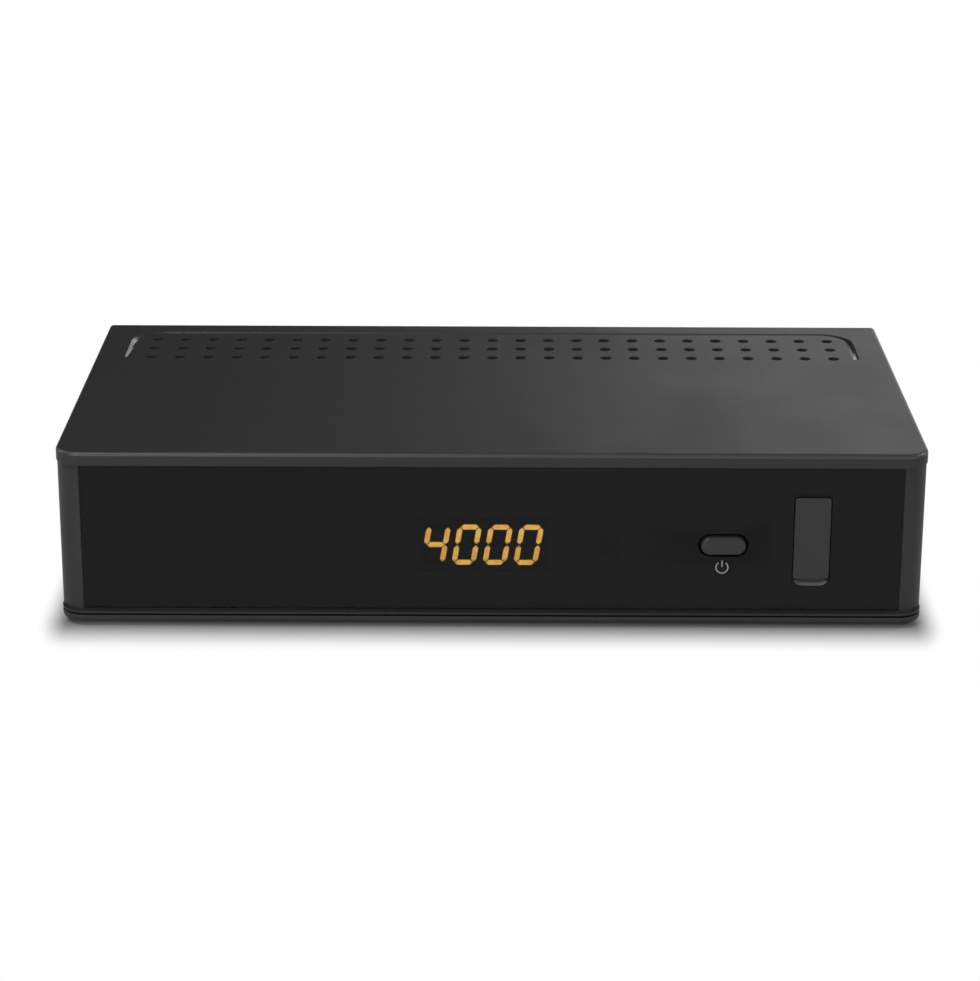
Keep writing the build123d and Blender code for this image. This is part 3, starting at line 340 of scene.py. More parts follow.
def rounded(x0, x1, y0, y1, near, far, inset=0.0, steps=CORNER_STEPS):
    """A rectangle whose corners at y0 are rounded by near and at y1 by far, drawn in by an inset."""
    corners = []
    for x, y, radius, start in (
            (x1, y0, near, -90), (x1, y1, far, 0), (x0, y1, far, 90), (x0, y0, near, 180)):
        radius = max(radius - inset, LEAST_RADIUS)
        sx = 1 if x == x1 else -1
        sy = 1 if y == y1 else -1
        centre = (x - sx * (inset + radius), y - sy * (inset + radius))
        corners += arc(centre, radius, start, start + 90, steps)
    return corners


def obround(x, y, width, height, inset=0.0):
    """A bar with half-round ends."""
    radius = height / 2 - inset
    reach = width / 2 - height / 2
    return arc((x + reach, y), radius, -90, 90, 16) + arc((x - reach, y), radius, 90, 270, 16)


print("points in a rounded outline:", len(rounded(0, 10, 0, 10, 1, 1)))


# %% Outlines laid flat or stood up, and two ways to break an edge
def flat(points, z):
    """Lays an outline in plan at height z."""
    return [Vector((x, y, z)) for x, y in points]


def facing(points, y):
    """Stands an outline up, as seen from the front, at depth y."""
    return [Vector((x, y, z)) for x, z in points]


def round_over(radius, steps=6):
    """Pairs (inset, rise) that carry a wall over into a flat top, through a quarter circle."""
    turn = [math.pi / 2 * i / steps for i in range(steps + 1)]
    return [(radius * (1 - math.cos(t)), radius * math.sin(t)) for t in turn]


def eased(edge):
    """Pairs (inset, rise) that break an edge with a small round."""
    return [(edge, 0.0), (0.3 * edge, 0.3 * edge), (0.0, edge)]


print("a 1 mm round, inset and rise:", [(round(i, 2), round(r, 2)) for i, r in round_over(1.0, 3)])


# %% Skins through rings
def loft(rings, start=True, end=True):
    """Points and faces of a skin through closed rings. Its ends are closed unless told otherwise."""
    count = len(rings[0])
    points = [point for ring in rings for point in ring]
    faces = []
    for level in range(len(rings) - 1):
        low, high = level * count, (level + 1) * count
        for i in range(count):
            j = (i + 1) % count
            faces.append((low + i, low + j, high + j, high + i))
    if start:
        faces.append(tuple(range(count - 1, -1, -1)))
    if end:
        faces.append(tuple(range(len(points) - count, len(points))))
    return points, faces


def block(x0, x1, y0, y1, z0, z1, edge=0.0):
    """A box between two corners, whose edges are broken by a small amount."""
    inner = [(edge, 0.0), (0.0, edge)] if edge else [(0.0, 0.0)]
    levels = [(inset, z0 + step) for inset, step in inner]
    levels += [(inset, z1 - step) for inset, step in inner[::-1]]
    return loft([flat(rounded(x0, x1, y0, y1, edge, edge, inset, 2), z) for inset, z in levels])


def turned(profile, sides=48, closed=False):
    """A part turned about Z from pairs (radius, height). A closed profile makes a ring."""
    turn = [2 * math.pi * i / sides for i in range(sides)]
    rings = [[Vector((r * math.cos(t), r * math.sin(t), h)) for t in turn] for r, h in profile]
    if closed:
        return loft(rings + rings[:1], False, False)
    return loft(rings)


def moved(part, matrix):
    """The same part in another place."""
    points, faces = part
    return [matrix @ point for point in points], faces


def at(x, y, z, turn=0.0, axis="X"):
    """A place, in mm, with a turn in degrees about one axis."""
    return Matrix.Translation((x, y, z)) @ Matrix.Rotation(math.radians(turn), 4, axis)


print("faces of a plain block:", len(block(0, 1, 0, 1, 0, 1)[1]))

# %% [markdown]
# ## From points to a finished piece
# A part is only a list of points and faces, so one function makes a mesh object of it. Shapes are
# joined and cut with the Boolean modifier, and what a modifier makes is kept as a plain mesh at
# once. At the end a Weighted Normal modifier gives the large flats the say in the shading, so the
# small edges look rounded and the flats stay flat.

# %% Mesh objects
SHARP_DEGREES = 32.0             # an edge that turns by more than this stays sharp


def smooth(mesh, sharp=SHARP_DEGREES):
    """Smooth faces, with edges kept sharp where they turn by more than an angle."""
    mesh.shade_smooth()
    mesh.set_sharp_from_angle(angle=math.radians(sharp))


def new_object(name, mesh):
    """An object for a mesh, in the scene."""
    piece = bpy.data.objects.new(name, mesh)
    bpy.context.scene.collection.objects.link(piece)
    return piece


def mesh_piece(name, parts, material=None):
    """One mesh object from parts in millimetres: merged, facing outwards and smooth."""
    mesh = bpy.data.meshes.new(name)
    shape = bmesh.new()
    for points, faces in parts:
        corners = [shape.verts.new(point * MM) for point in points]
        for face in faces:
            shape.faces.new([corners[i] for i in face])
    bmesh.ops.remove_doubles(shape, verts=shape.verts, dist=1e-7)
    bmesh.ops.recalc_face_normals(shape, faces=shape.faces)
    shape.to_mesh(mesh)
    shape.free()
    smooth(mesh)
    if material:
        mesh.materials.append(material)
    return new_object(name, mesh)


print("edges stay sharp above, degrees:", SHARP_DEGREES)


# %% Modifiers kept as plain meshes
def bake_modifiers(piece):
    """Replaces the piece's mesh by what its modifiers make of it, and takes them off."""
    graph = bpy.context.evaluated_depsgraph_get()
    made = bpy.data.meshes.new_from_object(piece.evaluated_get(graph))
    piece.modifiers.clear()
    old = piece.data
    piece.data = made
    made.name = piece.name
    bpy.data.meshes.remove(old)


def boolean(piece, parts, operation="DIFFERENCE"):
    """Cuts parts out of a piece, one after another, or adds them to it."""
    for part in parts:
        tool = mesh_piece("tool", [part])
        change = piece.modifiers.new("cut", "BOOLEAN")
        change.operation = operation
        change.solver = "EXACT"
        change.object = tool
        bake_modifiers(piece)
        bpy.data.objects.remove(tool)
    smooth(piece.data)


def as_part(piece):
    """Takes the shape of a piece as a part in millimetres, and removes the piece."""
    points = [vertex.co / MM for vertex in piece.data.vertices]
    faces = [tuple(face.vertices) for face in piece.data.polygons]
    bpy.data.objects.remove(piece)
    return points, faces


trial = mesh_piece("trial", [block(0, 10, 0, 10, 0, 10)])
boolean(trial, [block(5, 15, 5, 15, 5, 15)])
print("points of a cube without one corner:", len(as_part(trial)[0]))


# %% The last step of each piece
def settle(piece, slot, *nodes):
    """Evens the shading and rides the piece on the body of the parts it stands for. The slot is not
    used.
    """
    even = piece.modifiers.new("even_flats", "WEIGHTED_NORMAL")
    even.weight = 100
    even.keep_sharp = True
    bake_modifiers(piece)
    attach(piece, body_of[nodes[0]])
    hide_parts(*nodes)
    print(piece.name, "faces:", len(piece.data.polygons), "for", ", ".join(nodes))


print("bodies to ride on:", sorted(set(body_of.values())))

# %% [markdown]
# ## Geometry Nodes for what repeats
# Vents, air holes and slots stand in even rows, so a tree makes a grid of points, puts a cutter on
# each and takes them all out of the piece at once. A second tree cuts a groove along a path, a
# third copies a part, such as a screw, to chosen points, and a fourth winds a thread. Each has
# named inputs for its sizes, and the result is turned into a plain mesh.


# %% Functions that make and run a tree
def new_tree(name, inputs):
    """A geometry tree with its main input and output and one named input for each pair."""
    tree = bpy.data.node_groups.new(name, "GeometryNodeTree")
    tree.interface.new_socket("Geometry", in_out="INPUT", socket_type="NodeSocketGeometry")
    for label, kind in inputs.items():
        tree.interface.new_socket(label, in_out="INPUT", socket_type="NodeSocket" + kind)
    tree.interface.new_socket("Geometry", in_out="OUTPUT", socket_type="NodeSocketGeometry")
    return tree, add_node(tree, "NodeGroupInput").outputs


def end_tree(tree, geometry, material):
    """Makes the instances real, sets the material and leads the result out."""
    real = add_node(tree, "GeometryNodeRealizeInstances", {"Geometry": geometry})
    painted = add_node(tree, "GeometryNodeSetMaterial", {
        "Geometry": real.outputs[0], "Material": material})
    add_node(tree, "NodeGroupOutput", {"Geometry": painted.outputs[0]})
    print("tree:", tree.name, "nodes:", len(tree.nodes))


def run_tree(piece, tree, values):
    """Runs a tree on a piece with values for its named inputs, and keeps the plain mesh."""
    change = piece.modifiers.new(tree.name, "NODES")
    change.node_group = tree
    for item in tree.interface.items_tree:
        if item.in_out == "INPUT" and item.name in values:
            change[item.identifier] = values[item.name]
    bake_modifiers(piece)
    smooth(piece.data)


# %% Tree: a grid of holes
hole_grid, entry = new_tree("grid_of_holes", {
    "Cutter": "Object", "Columns": "Int", "Rows": "Int", "Pitch across": "Float",
    "Pitch along": "Float", "Middle": "Vector", "Turn": "Vector", "Material": "Material"})
lengths = []                     # a row is one pitch shorter than its count
for count, pitch in (("Columns", "Pitch across"), ("Rows", "Pitch along")):
    gaps = add_node(hole_grid, "ShaderNodeMath", {0: entry[count], 1: 1.0}, operation="SUBTRACT")
    lengths.append(add_node(hole_grid, "ShaderNodeMath", {
        0: gaps.outputs[0], 1: entry[pitch]}, operation="MULTIPLY").outputs[0])
grid = add_node(hole_grid, "GeometryNodeMeshGrid", {
    "Size X": lengths[0], "Size Y": lengths[1],
    "Vertices X": entry["Columns"], "Vertices Y": entry["Rows"]})
there = add_node(hole_grid, "GeometryNodeTransform", {
    "Geometry": grid.outputs["Mesh"], "Translation": entry["Middle"], "Rotation": entry["Turn"]})
cutter = add_node(hole_grid, "GeometryNodeObjectInfo", {"Object": entry["Cutter"]})
copies = add_node(hole_grid, "GeometryNodeInstanceOnPoints", {
    "Points": there.outputs["Geometry"], "Instance": cutter.outputs["Geometry"]})
cutters = add_node(hole_grid, "GeometryNodeRealizeInstances", {"Geometry": copies.outputs[0]})
pierced = add_node(hole_grid, "GeometryNodeMeshBoolean", {
    "Mesh 1": entry["Geometry"], "Mesh 2": cutters.outputs[0]}, operation="DIFFERENCE", solver="EXACT")
end_tree(hole_grid, pierced.outputs["Mesh"], entry["Material"])


def pierce(piece, cutter_part, columns, rows, pitch_across, pitch_along, centre, material, turn=0.0):
    """Cuts a grid of holes, with places and pitches in millimetres."""
    tool = mesh_piece("cutter", [cutter_part])
    run_tree(piece, hole_grid, {
        "Cutter": tool, "Columns": columns, "Rows": rows, "Pitch across": pitch_across * MM,
        "Pitch along": pitch_along * MM, "Middle": Vector(centre) * MM,
        "Turn": (math.radians(turn), 0.0, 0.0), "Material": material})
    bpy.data.objects.remove(tool)
    print(piece.name, "holes:", columns * rows)


# %% Tree: a groove along a path
groove_tree, entry = new_tree("groove_on_path", {
    "Path": "Object", "Corner radius": "Float", "Groove depth": "Float", "Material": "Material"})
path = add_node(groove_tree, "GeometryNodeObjectInfo", {"Object": entry["Path"]})
line = add_node(groove_tree, "GeometryNodeMeshToCurve", {"Mesh": path.outputs["Geometry"]})
bent = add_node(groove_tree, "GeometryNodeFilletCurve", {
    "Curve": line.outputs[0], "Radius": entry["Corner radius"], "Count": 10}, mode="POLY")
# A circle of four points is a square on its corner, which sweeps out a V.
square_tool = add_node(groove_tree, "GeometryNodeCurvePrimitiveCircle", {
    "Resolution": 4, "Radius": entry["Groove depth"]}, mode="RADIUS")
swept = add_node(groove_tree, "GeometryNodeCurveToMesh", {
    "Curve": bent.outputs[0], "Profile Curve": square_tool.outputs["Curve"], "Fill Caps": True})
channel = add_node(groove_tree, "GeometryNodeMeshBoolean", {
    "Mesh 1": entry["Geometry"], "Mesh 2": swept.outputs[0]}, operation="DIFFERENCE", solver="EXACT")
# A cone, made as a sphere of two rings, rounds each end of the groove as a drill would.
ends = add_node(groove_tree, "GeometryNodeCurveEndpointSelection")
drill_tip = add_node(groove_tree, "GeometryNodeMeshUVSphere", {
    "Segments": 16, "Rings": 2, "Radius": entry["Groove depth"]})
tips = add_node(groove_tree, "GeometryNodeInstanceOnPoints", {
    "Points": bent.outputs[0], "Selection": ends.outputs[0], "Instance": drill_tip.outputs["Mesh"]})
tips = add_node(groove_tree, "GeometryNodeRealizeInstances", {"Geometry": tips.outputs[0]})
rounded_ends = add_node(groove_tree, "GeometryNodeMeshBoolean", {
    "Mesh 1": channel.outputs["Mesh"], "Mesh 2": tips.outputs[0]},
    operation="DIFFERENCE", solver="EXACT")
end_tree(groove_tree, rounded_ends.outputs["Mesh"], entry["Material"])

# %% Tree: copies of a part at chosen points
SEED = 7                         # fixes the chance turns
copy_tree, entry = new_tree("copies_at_points", {
    "Part": "Object", "Most turn": "Float", "Seed": "Int", "Material": "Material"})
part = add_node(copy_tree, "GeometryNodeObjectInfo", {"Object": entry["Part"]})
turn = add_node(copy_tree, "FunctionNodeRandomValue", {
    2: 0.0, 3: entry["Most turn"], "Seed": entry["Seed"]})
turns = add_node(copy_tree, "ShaderNodeCombineXYZ", {"Z": turn.outputs[1]})
copies = add_node(copy_tree, "GeometryNodeInstanceOnPoints", {
    "Points": entry["Geometry"], "Instance": part.outputs["Geometry"], "Rotation": turns.outputs[0]})
end_tree(copy_tree, copies.outputs[0], entry["Material"])


def copies_at(name, part, places, material, most_turn=0.0, upright=None):
    """One piece with a copy of a part at each place in mm, each turned by chance, then stood up."""
    points = bpy.data.meshes.new(name)
    back = upright.inverted() if upright else Matrix.Identity(4)
    points.from_pydata([back @ Vector(place) * MM for place in places], [], [])
    piece = new_object(name, points)
    pattern = mesh_piece("pattern", [part])
    run_tree(piece, copy_tree, {
        "Part": pattern, "Most turn": math.radians(most_turn), "Seed": SEED, "Material": material})
    bpy.data.objects.remove(pattern)
    if upright:
        piece.data.transform(upright)
    return piece


# %% [markdown]
# ## A rule for a screw thread
# Walk round a thread once and it has climbed by one pitch. So the height in pitches, less the
# share of a turn, is the same all along the crest. Folded back and forth between 0 and 1, that
# number says how deep the cutter stands at any point. It fades in and out over one pitch at the
# thread's ends.

# %% Tree: a thread wound on a barrel
thread_tree, entry = new_tree("thread_on_barrel", {
    "Start": "Float", "End": "Float", "Barrel radius": "Float", "Pitch": "Float", "Depth": "Float",
    "Material": "Material"})
position = add_node(thread_tree, "GeometryNodeInputPosition").outputs[0]
spot = add_node(thread_tree, "ShaderNodeSeparateXYZ", {0: position}).outputs
outwards = add_node(thread_tree, "ShaderNodeCombineXYZ", {"X": spot["X"], "Y": spot["Y"]}).outputs[0]
reach = add_node(thread_tree, "ShaderNodeVectorMath", {0: outwards}, operation="LENGTH")
known = {name: entry[name] for name in ("Start", "End", "Barrel radius", "Pitch", "Depth")}
known.update({"x": spot["X"], "y": spot["Y"], "z": spot["Z"]})
for name, operation, first, second in (
        ("angle", "ARCTAN2", "y", "x"), ("share of a turn", "DIVIDE", "angle", 2 * math.pi),
        ("height", "DIVIDE", "z", "Pitch"), ("winding", "SUBTRACT", "height", "share of a turn"),
        ("fold", "PINGPONG", "winding", 0.5), ("valley", "MULTIPLY", "fold", 2.0),
        ("past start", "SUBTRACT", "z", "Start"), ("before end", "SUBTRACT", "End", "z"),
        ("nearer end", "MINIMUM", "past start", "before end"),
        ("fading", "DIVIDE", "nearer end", "Pitch"), ("at most 1", "MINIMUM", "fading", 1.0),
        ("fade", "MAXIMUM", "at most 1", 0.0),
        ("full depth", "MULTIPLY", "valley", "Depth"), ("cut", "MULTIPLY", "full depth", "fade"),
        ("inwards", "MULTIPLY", "cut", -1.0), ("nearly outside", "MULTIPLY", "Barrel radius", 0.99)):
    known[name] = add_node(thread_tree, "ShaderNodeMath", {
        0: known.get(first, first), 1: known.get(second, second)}, operation=operation).outputs[0]
outer_wall = add_node(thread_tree, "FunctionNodeCompare", {
    0: reach.outputs["Value"], 1: known["nearly outside"]},
    data_type="FLOAT", operation="GREATER_THAN")
unit = add_node(thread_tree, "ShaderNodeVectorMath", {0: outwards}, operation="NORMALIZE")
sink = add_node(thread_tree, "ShaderNodeVectorMath", {
    0: unit.outputs[0], "Scale": known["inwards"]}, operation="SCALE")
wound = add_node(thread_tree, "GeometryNodeSetPosition", {
    "Geometry": entry["Geometry"], "Selection": outer_wall.outputs[0], "Offset": sink.outputs[0]})
end_tree(thread_tree, wound.outputs[0], entry["Material"])

# %% [markdown]
# ## The top cover
# The lid and its side walls are one moulding. Its plan is a rectangle with two well-rounded front
# corners, and its top edge rolls over a 1 mm radius, which is what catches the light. It could be
# a cube with bevels, but a skin through rings keeps each radius exact: up the wall, over the edge
# and across the top, with a cavity below. Walls, ribs and bosses are then added with Booleans.

# %% Sizes of the cover
WALL = 2.4
LID_BAND = 3.7                   # height of the lid's outer edge
LID_PLATE = 2.2
LID_ROUND = 1.0
CORNER_FRONT = 6.5
CORNER_BACK = 1.2
EDGE = 0.25                      # the small radius on every other moulded edge
RIB = 1.2
NECK = 1.2                       # depth of the open line under the lid
FUSE = 0.5                       # how far an added part reaches into what carries it
SHEET_SLACK = 0.1                # room for the rear sheet in its slot, on either face
BODY_TOP = lid_top - 4.2         # top of the window, fascia and side walls
BODY_BOTTOM = cover_low.z
FASCIA_END = case_front + 12.0
lid_bottom = lid_top - LID_BAND
plate_bottom = lid_top - LID_PLATE
inner_half = half_width - WALL
sheet_low, sheet_high = box_mm("rear_panel")
slot_front, slot_back = sheet_low.y - SHEET_SLACK, sheet_high.y + SHEET_SLACK
print("height of the walls, mm:", round(BODY_TOP - BODY_BOTTOM, 2))


# %% Lid and walls
def case_ring(inset, z):
    """Ring of the case's plan at height z, drawn in by an inset."""
    plan = rounded(-half_width, half_width, case_front, case_back, CORNER_FRONT, CORNER_BACK, inset)
    return flat(plan, z)


# From the cavity's ceiling down, out and up the wall, and over the edge to the flat top.
lid_levels = [(WALL, plate_bottom), (WALL, lid_bottom)]
lid_levels += [(inset, lid_bottom + rise) for inset, rise in eased(EDGE)]
lid_levels += [(inset, lid_top - LID_ROUND + rise) for inset, rise in round_over(LID_ROUND)]
lid_levels.append((LID_ROUND + 0.4, lid_top))
cover = mesh_piece("lid_and_side_walls", [loft([case_ring(inset, z) for inset, z in lid_levels])])
walls = []
for side in (-1, 1):
    wall = sorted((side * half_width, side * inner_half))
    neck = sorted((side * (half_width - NECK), side * (inner_half + 0.01)))
    walls.append(block(*wall, FASCIA_END + 0.2, case_back, BODY_BOTTOM, BODY_TOP, EDGE))
    walls.append(block(*neck, FASCIA_END + 0.4, case_back - 0.2, BODY_TOP - 1, lid_bottom + FUSE))
boolean(cover, walls, "UNION")
print("lid and walls, faces:", len(cover.data.polygons))

# %% Ribs, screw bosses and the slot of the rear sheet
SCREW_X = 101.5
SCREW_FRONT = case_front + 17.0
SCREW_BACK = case_back - 12.0
BOSS_BOTTOM = 16.0
BOSS_RADIUS = 3.6
LAP_Y = case_front + 4.9         # the long rib behind the window
screw_places = [(x, y) for x in (-SCREW_X, SCREW_X) for y in (SCREW_FRONT, SCREW_BACK)]
rib_top = plate_bottom + FUSE
inside = [block(-SCREW_X, SCREW_X, LAP_Y, LAP_Y + RIB, plate_bottom - 5.2, rib_top),
          block(-inner_half, inner_half, slot_front - RIB, slot_front, plate_bottom - 3, rib_top)]
inside += [block(x - RIB / 2, x + RIB / 2, LAP_Y + 2, case_back - 40, plate_bottom - 1.8, rib_top)
           for x in (-60, -20, 20, 60)]
boss = turned([(BOSS_RADIUS, 0.0), (BOSS_RADIUS, rib_top - BOSS_BOTTOM)], 32)
inside += [moved(boss, at(x, y, BOSS_BOTTOM)) for x, y in screw_places]
boolean(cover, inside, "UNION")
bore = turned([(1.5, -1.0), (1.5, 11.0)], 24)
boolean(cover, [moved(bore, at(x, y, BOSS_BOTTOM)) for x, y in screw_places])
slot_half = inner_half + RIB
boolean(cover, [block(-slot_half, slot_half, slot_front, slot_back, 0, plate_bottom)])
print("ribs and bosses:", len(inside))

# %% [markdown]
# ## The card slot, the vents and the groove
# A card slides in through the right-hand wall, and the slot's mouth is flared so that it finds its
# way. Warm air leaves through the vents, whose edge is slightly broken, as a moulded hole has it.
# Round three sides of them runs a groove with sloped walls. Holes and groove repeat or follow a
# path, so the trees cut them, and all their sizes stay numbers that can be changed.

# %% Card slot in the right-hand wall
CARD_HALF = 27.6
CARD_RISE = 1.1                  # half the height of the slot
reader_low, reader_high = box_mm("card_reader")
card_y = (reader_low.y + reader_high.y) / 2
card_z = reader_high.z - 0.8
card_mouth = ((0.0, inner_half - 1), (0.0, half_width - 0.7), (0.5, half_width),
              (0.8, half_width + 0.4))


def card_ring(grow, x):
    """Outline of the card slot at one depth of the wall."""
    outline = rounded(card_y - CARD_HALF - grow, card_y + CARD_HALF + grow, card_z - CARD_RISE - grow,
                      card_z + CARD_RISE + grow, 0.4 + grow, 0.4 + grow, 0.0, 4)
    return [Vector((x, y, z)) for y, z in outline]


boolean(cover, [loft([card_ring(grow, x) for grow, x in card_mouth])])
print("card slot, mm:", 2 * CARD_HALF, "by", 2 * CARD_RISE)

# %% Vents
VENT_COLUMNS = 25
VENT_ROWS = 3
VENT_PITCH = (7.89, 8.63)
VENT_RADIUS = 1.5
VENT_Y = case_back - 23.7
VENT_MOUTH = ((0.0, -0.22), (0.06, -0.08), (0.2, 0.0), (0.5, 0.3))    # wider by, above the lid by
vent = [(VENT_RADIUS, plate_bottom - 1.0)]
vent += [(VENT_RADIUS + wider, lid_top + above) for wider, above in VENT_MOUTH]
pierce(cover, turned(vent, 28), VENT_COLUMNS, VENT_ROWS, *VENT_PITCH, (0, VENT_Y, 0), case_abs)

# %% Groove round the vents
GROOVE_HALF = 101.0
GROOVE_BACK = case_back - 8.4
GROOVE_FRONT = case_back - 32.4
GROOVE_CORNER = 8.5
GROOVE_DEPTH = 0.9               # its walls slope by 45 degrees, so it is twice as wide
bends = [(-GROOVE_HALF, GROOVE_FRONT), (-GROOVE_HALF, GROOVE_BACK), (GROOVE_HALF, GROOVE_BACK),
         (GROOVE_HALF, GROOVE_FRONT)]
route = bpy.data.meshes.new("groove_path")
route.from_pydata([Vector((x, y, lid_top)) * MM for x, y in bends], [(0, 1), (1, 2), (2, 3)], [])
path = bpy.data.objects.new("groove_path", route)
run_tree(cover, groove_tree, {
    "Path": path, "Corner radius": GROOVE_CORNER * MM, "Groove depth": GROOVE_DEPTH * MM,
    "Material": case_abs})
bpy.data.objects.remove(path)
print("width of the groove, mm:", 2 * GROOVE_DEPTH)

# %% [markdown]
# ## A satin rim and polished groove walls
# The grain of the tool stops short of the lid's rounded edge, which is only satin there and
# takes a soft line of light. The groove was cut into the tool and polished, so its walls mirror
# what stands over them and read as one crisp line; they are also drawn a shade darker than the lid, as
# painted shade in the groove. Their faces are found by their place and by how far they look up, which
# still works when a size above is changed.

# %% A satin rim and polished groove walls
RIM_REACH = 3.5                  # the faces of the rim lie this near to the outline
GROOVE_REACH = 1.5               # and those of the groove this near to its line
RIM_UP = (0.1, 0.985)            # a face of the rim looks up by this much, and the flat top by 1
WALL_UP = math.sqrt(0.5)         # the groove's walls, at 45 degrees
rim_abs = finish("abs_charcoal_satin_rim", "#1a1a1b", "#222223", 0.46, 1.0, 0.0, level=0.45)
# The groove's walls are drawn a shade darker than the lid: painted shade in the groove.
polished_shaded_abs = finish("abs_charcoal_polished", "#161617", "#1c1c1d", 0.33, 1.0, 0.0, level=0.6)
rim_slot = len(cover.data.materials)
cover.data.materials.append(rim_abs)
cover.data.materials.append(polished_shaded_abs)
for face in cover.data.polygons:
    x, y, z = face.center / MM
    up = face.normal.z
    at_edge = (abs(x) > half_width - RIM_REACH
               or not case_front + RIM_REACH <= y <= case_back - RIM_REACH)
    by_line = (abs(x) < GROOVE_HALF + GROOVE_REACH
               and GROOVE_FRONT - GROOVE_REACH < y < GROOVE_BACK + GROOVE_REACH)
    if at_edge and z > lid_top - LID_ROUND and RIM_UP[0] < up < RIM_UP[1]:
        face.material_index = rim_slot
    elif by_line and z < lid_top and abs(up - WALL_UP) < 0.06:
        face.material_index = rim_slot + 1
print("faces of rim and groove:", sum(face.material_index >= rim_slot for face in cover.data.polygons))
settle(cover, "case_abs", "top_cover")

# %% [markdown]
# ## The base pan
# The base is a shallow pan with the same plan as the lid. Its lower edge is rounded, so the
# case seems to float on its shadow. Inside stand the pillars for the board and the bosses for the
# case screws, and below it has a seat for each foot and two fields of air slots, which a tree
# cuts like the vents.

# %% Pan with its lips, catches, pillars and bosses
BASE_BOTTOM = box_mm("base_tray")[0].z
BASE_TOP = BASE_BOTTOM + 1.8
BASE_ROUND = 0.8
BOARD_BOTTOM = 9.0
LIP = 1.6                        # thickness of the lips that stand inside the walls
board_low, board_high = box_mm("main_board")
base_levels = [(inset, BASE_BOTTOM + BASE_ROUND - rise)
               for inset, rise in round_over(BASE_ROUND)[::-1]]
base_levels += [(inset, BASE_TOP - rise) for inset, rise in eased(EDGE)[::-1]]
base = mesh_piece("base_pan", [loft([case_ring(inset, z) for inset, z in base_levels])])
root = BASE_TOP - FUSE
lip_x = inner_half - 0.2
back_x = lip_x - LIP
added = [block(*sorted((side * lip_x, side * back_x)), FASCIA_END + 6, slot_front - RIB - 0.3,
               root, BOARD_BOTTOM) for side in (-1, 1)]
added.append(block(-back_x, back_x, slot_front - RIB, slot_front, root, BASE_TOP + 2.7))
added.append(block(-back_x, back_x, slot_back, case_back - 0.3, root, BASE_TOP + 1.4))
added += [block(x - 4, x + 4, case_front + 5, case_front + 11, root, BODY_BOTTOM)
          for x in (-92, -46, 46, 92)]
added += [block(x - 2.2, x + 2.2, case_front + 16.2, case_front + 17.9, root, BODY_BOTTOM + 1.2)
          for x in (-69, 0, 69)]
pillar_places = [(x, board_low.y + 4.5) for x in (-88, 0, 50)]
pillar_places += [(-76, board_high.y - 5), (20, board_high.y - 24)]
for radius, top, places in ((3.0, BOARD_BOTTOM, pillar_places), (4.4, BOSS_BOTTOM, screw_places)):
    post = turned([(radius, root), (radius, top)], 32)
    added += [moved(post, at(x, y, 0)) for x, y in places]
boolean(base, added, "UNION")
print("parts added to the pan:", len(added))

# %% Counterbores, foot seats and air slots
FOOT_RADIUS = 6.0
SEAT_DEPTH = 0.6
HEAD_SEAT = 8.0                  # the heads of the case screws press against this height
AIR_SLOTS = 7
AIR_PITCH = 7.2
foot_places = [(x, y) for x in (-90, 90) for y in (case_front + 31, case_back - 28)]
counterbore = ((3.5, BASE_BOTTOM - 0.3), (3.2, BASE_BOTTOM + 0.25), (3.2, HEAD_SEAT), (1.8, HEAD_SEAT),
               (1.8, BOSS_BOTTOM + 1))
pillar_bore = ((1.25, BASE_TOP + 0.6), (1.25, BOARD_BOTTOM + 1))
foot_seat = ((FOOT_RADIUS + 0.05, BASE_BOTTOM - 1), (FOOT_RADIUS + 0.05, BASE_BOTTOM + SEAT_DEPTH))
taken = []
for profile, sides, places in ((counterbore, 32, screw_places), (pillar_bore, 24, pillar_places),
                               (foot_seat, 48, foot_places)):
    taken += [moved(turned(profile, sides), at(x, y, 0)) for x, y in places]
boolean(base, taken)
air_depths = ((0.3, BASE_BOTTOM - 0.15), (0.0, BASE_BOTTOM + 0.15), (0.0, BASE_TOP + 0.5))
air_slot = loft([flat(rounded(
    -1.1 - grow, 1.1 + grow, -17 - grow, 17 + grow, 1.05 + grow, 1.05 + grow), z)
    for grow, z in air_depths])
for field_x in (-45, 45):
    pierce(base, air_slot, AIR_SLOTS, 1, AIR_PITCH, 0.0, (field_x, 8, 0), case_abs)
settle(base, "case_abs", "base_tray")

# %% [markdown]
# ## The fascia
# The corner pillars, the ledge and the wall behind the window are one moulding. Its form came
# right from the CAD model, but every edge there is knife sharp, which no moulding has. So a copy is
# cleaned of its facets and given a small bevel that catches a line of light. The ledge
# also rises a little towards the window, so a low sloped lip is added to it.


# %% Softened copies of parts whose form is right
def softened(name, node, edge_mm, segments=2):
    """A copy of a part's mesh with its flats merged and its sharp edges bevelled."""
    piece = new_object(name, frame["nodes"][node].data.copy())
    weld = piece.modifiers.new("weld", "WELD")
    weld.merge_threshold = 1e-6
    flats = piece.modifiers.new("flats", "DECIMATE")
    flats.decimate_type = "DISSOLVE"
    flats.angle_limit = math.radians(1)
    edges = piece.modifiers.new("edges", "BEVEL")
    edges.width = edge_mm * MM
    edges.segments = segments
    edges.limit_method = "ANGLE"
    edges.angle_limit = math.radians(38)
    edges.miter_outer = "MITER_ARC"
    bake_modifiers(piece)
    smooth(piece.data, 50)
    return piece


fascia = softened("fascia_with_ledge", "front_fascia", 0.16)
print(fascia.name, "faces:", len(fascia.data.polygons))

# %% A sloped lip on the ledge, under the window
LIP_RISE = 0.5
ledge_top = BODY_BOTTOM + 0.5
lip_back = window_low.y - 0.04
lip_line = [(case_front + 0.06, ledge_top - 0.2), (lip_back, ledge_top - 0.2),
            (lip_back, ledge_top + LIP_RISE), (case_front + 0.14, ledge_top - 0.02)]
lip_half = window_high.x - 0.05
lip = loft([[Vector((x, y, z)) for y, z in lip_line] for x in (-lip_half, lip_half)])
boolean(fascia, [lip], "UNION")
settle(fascia, "case_abs", "front_fascia")
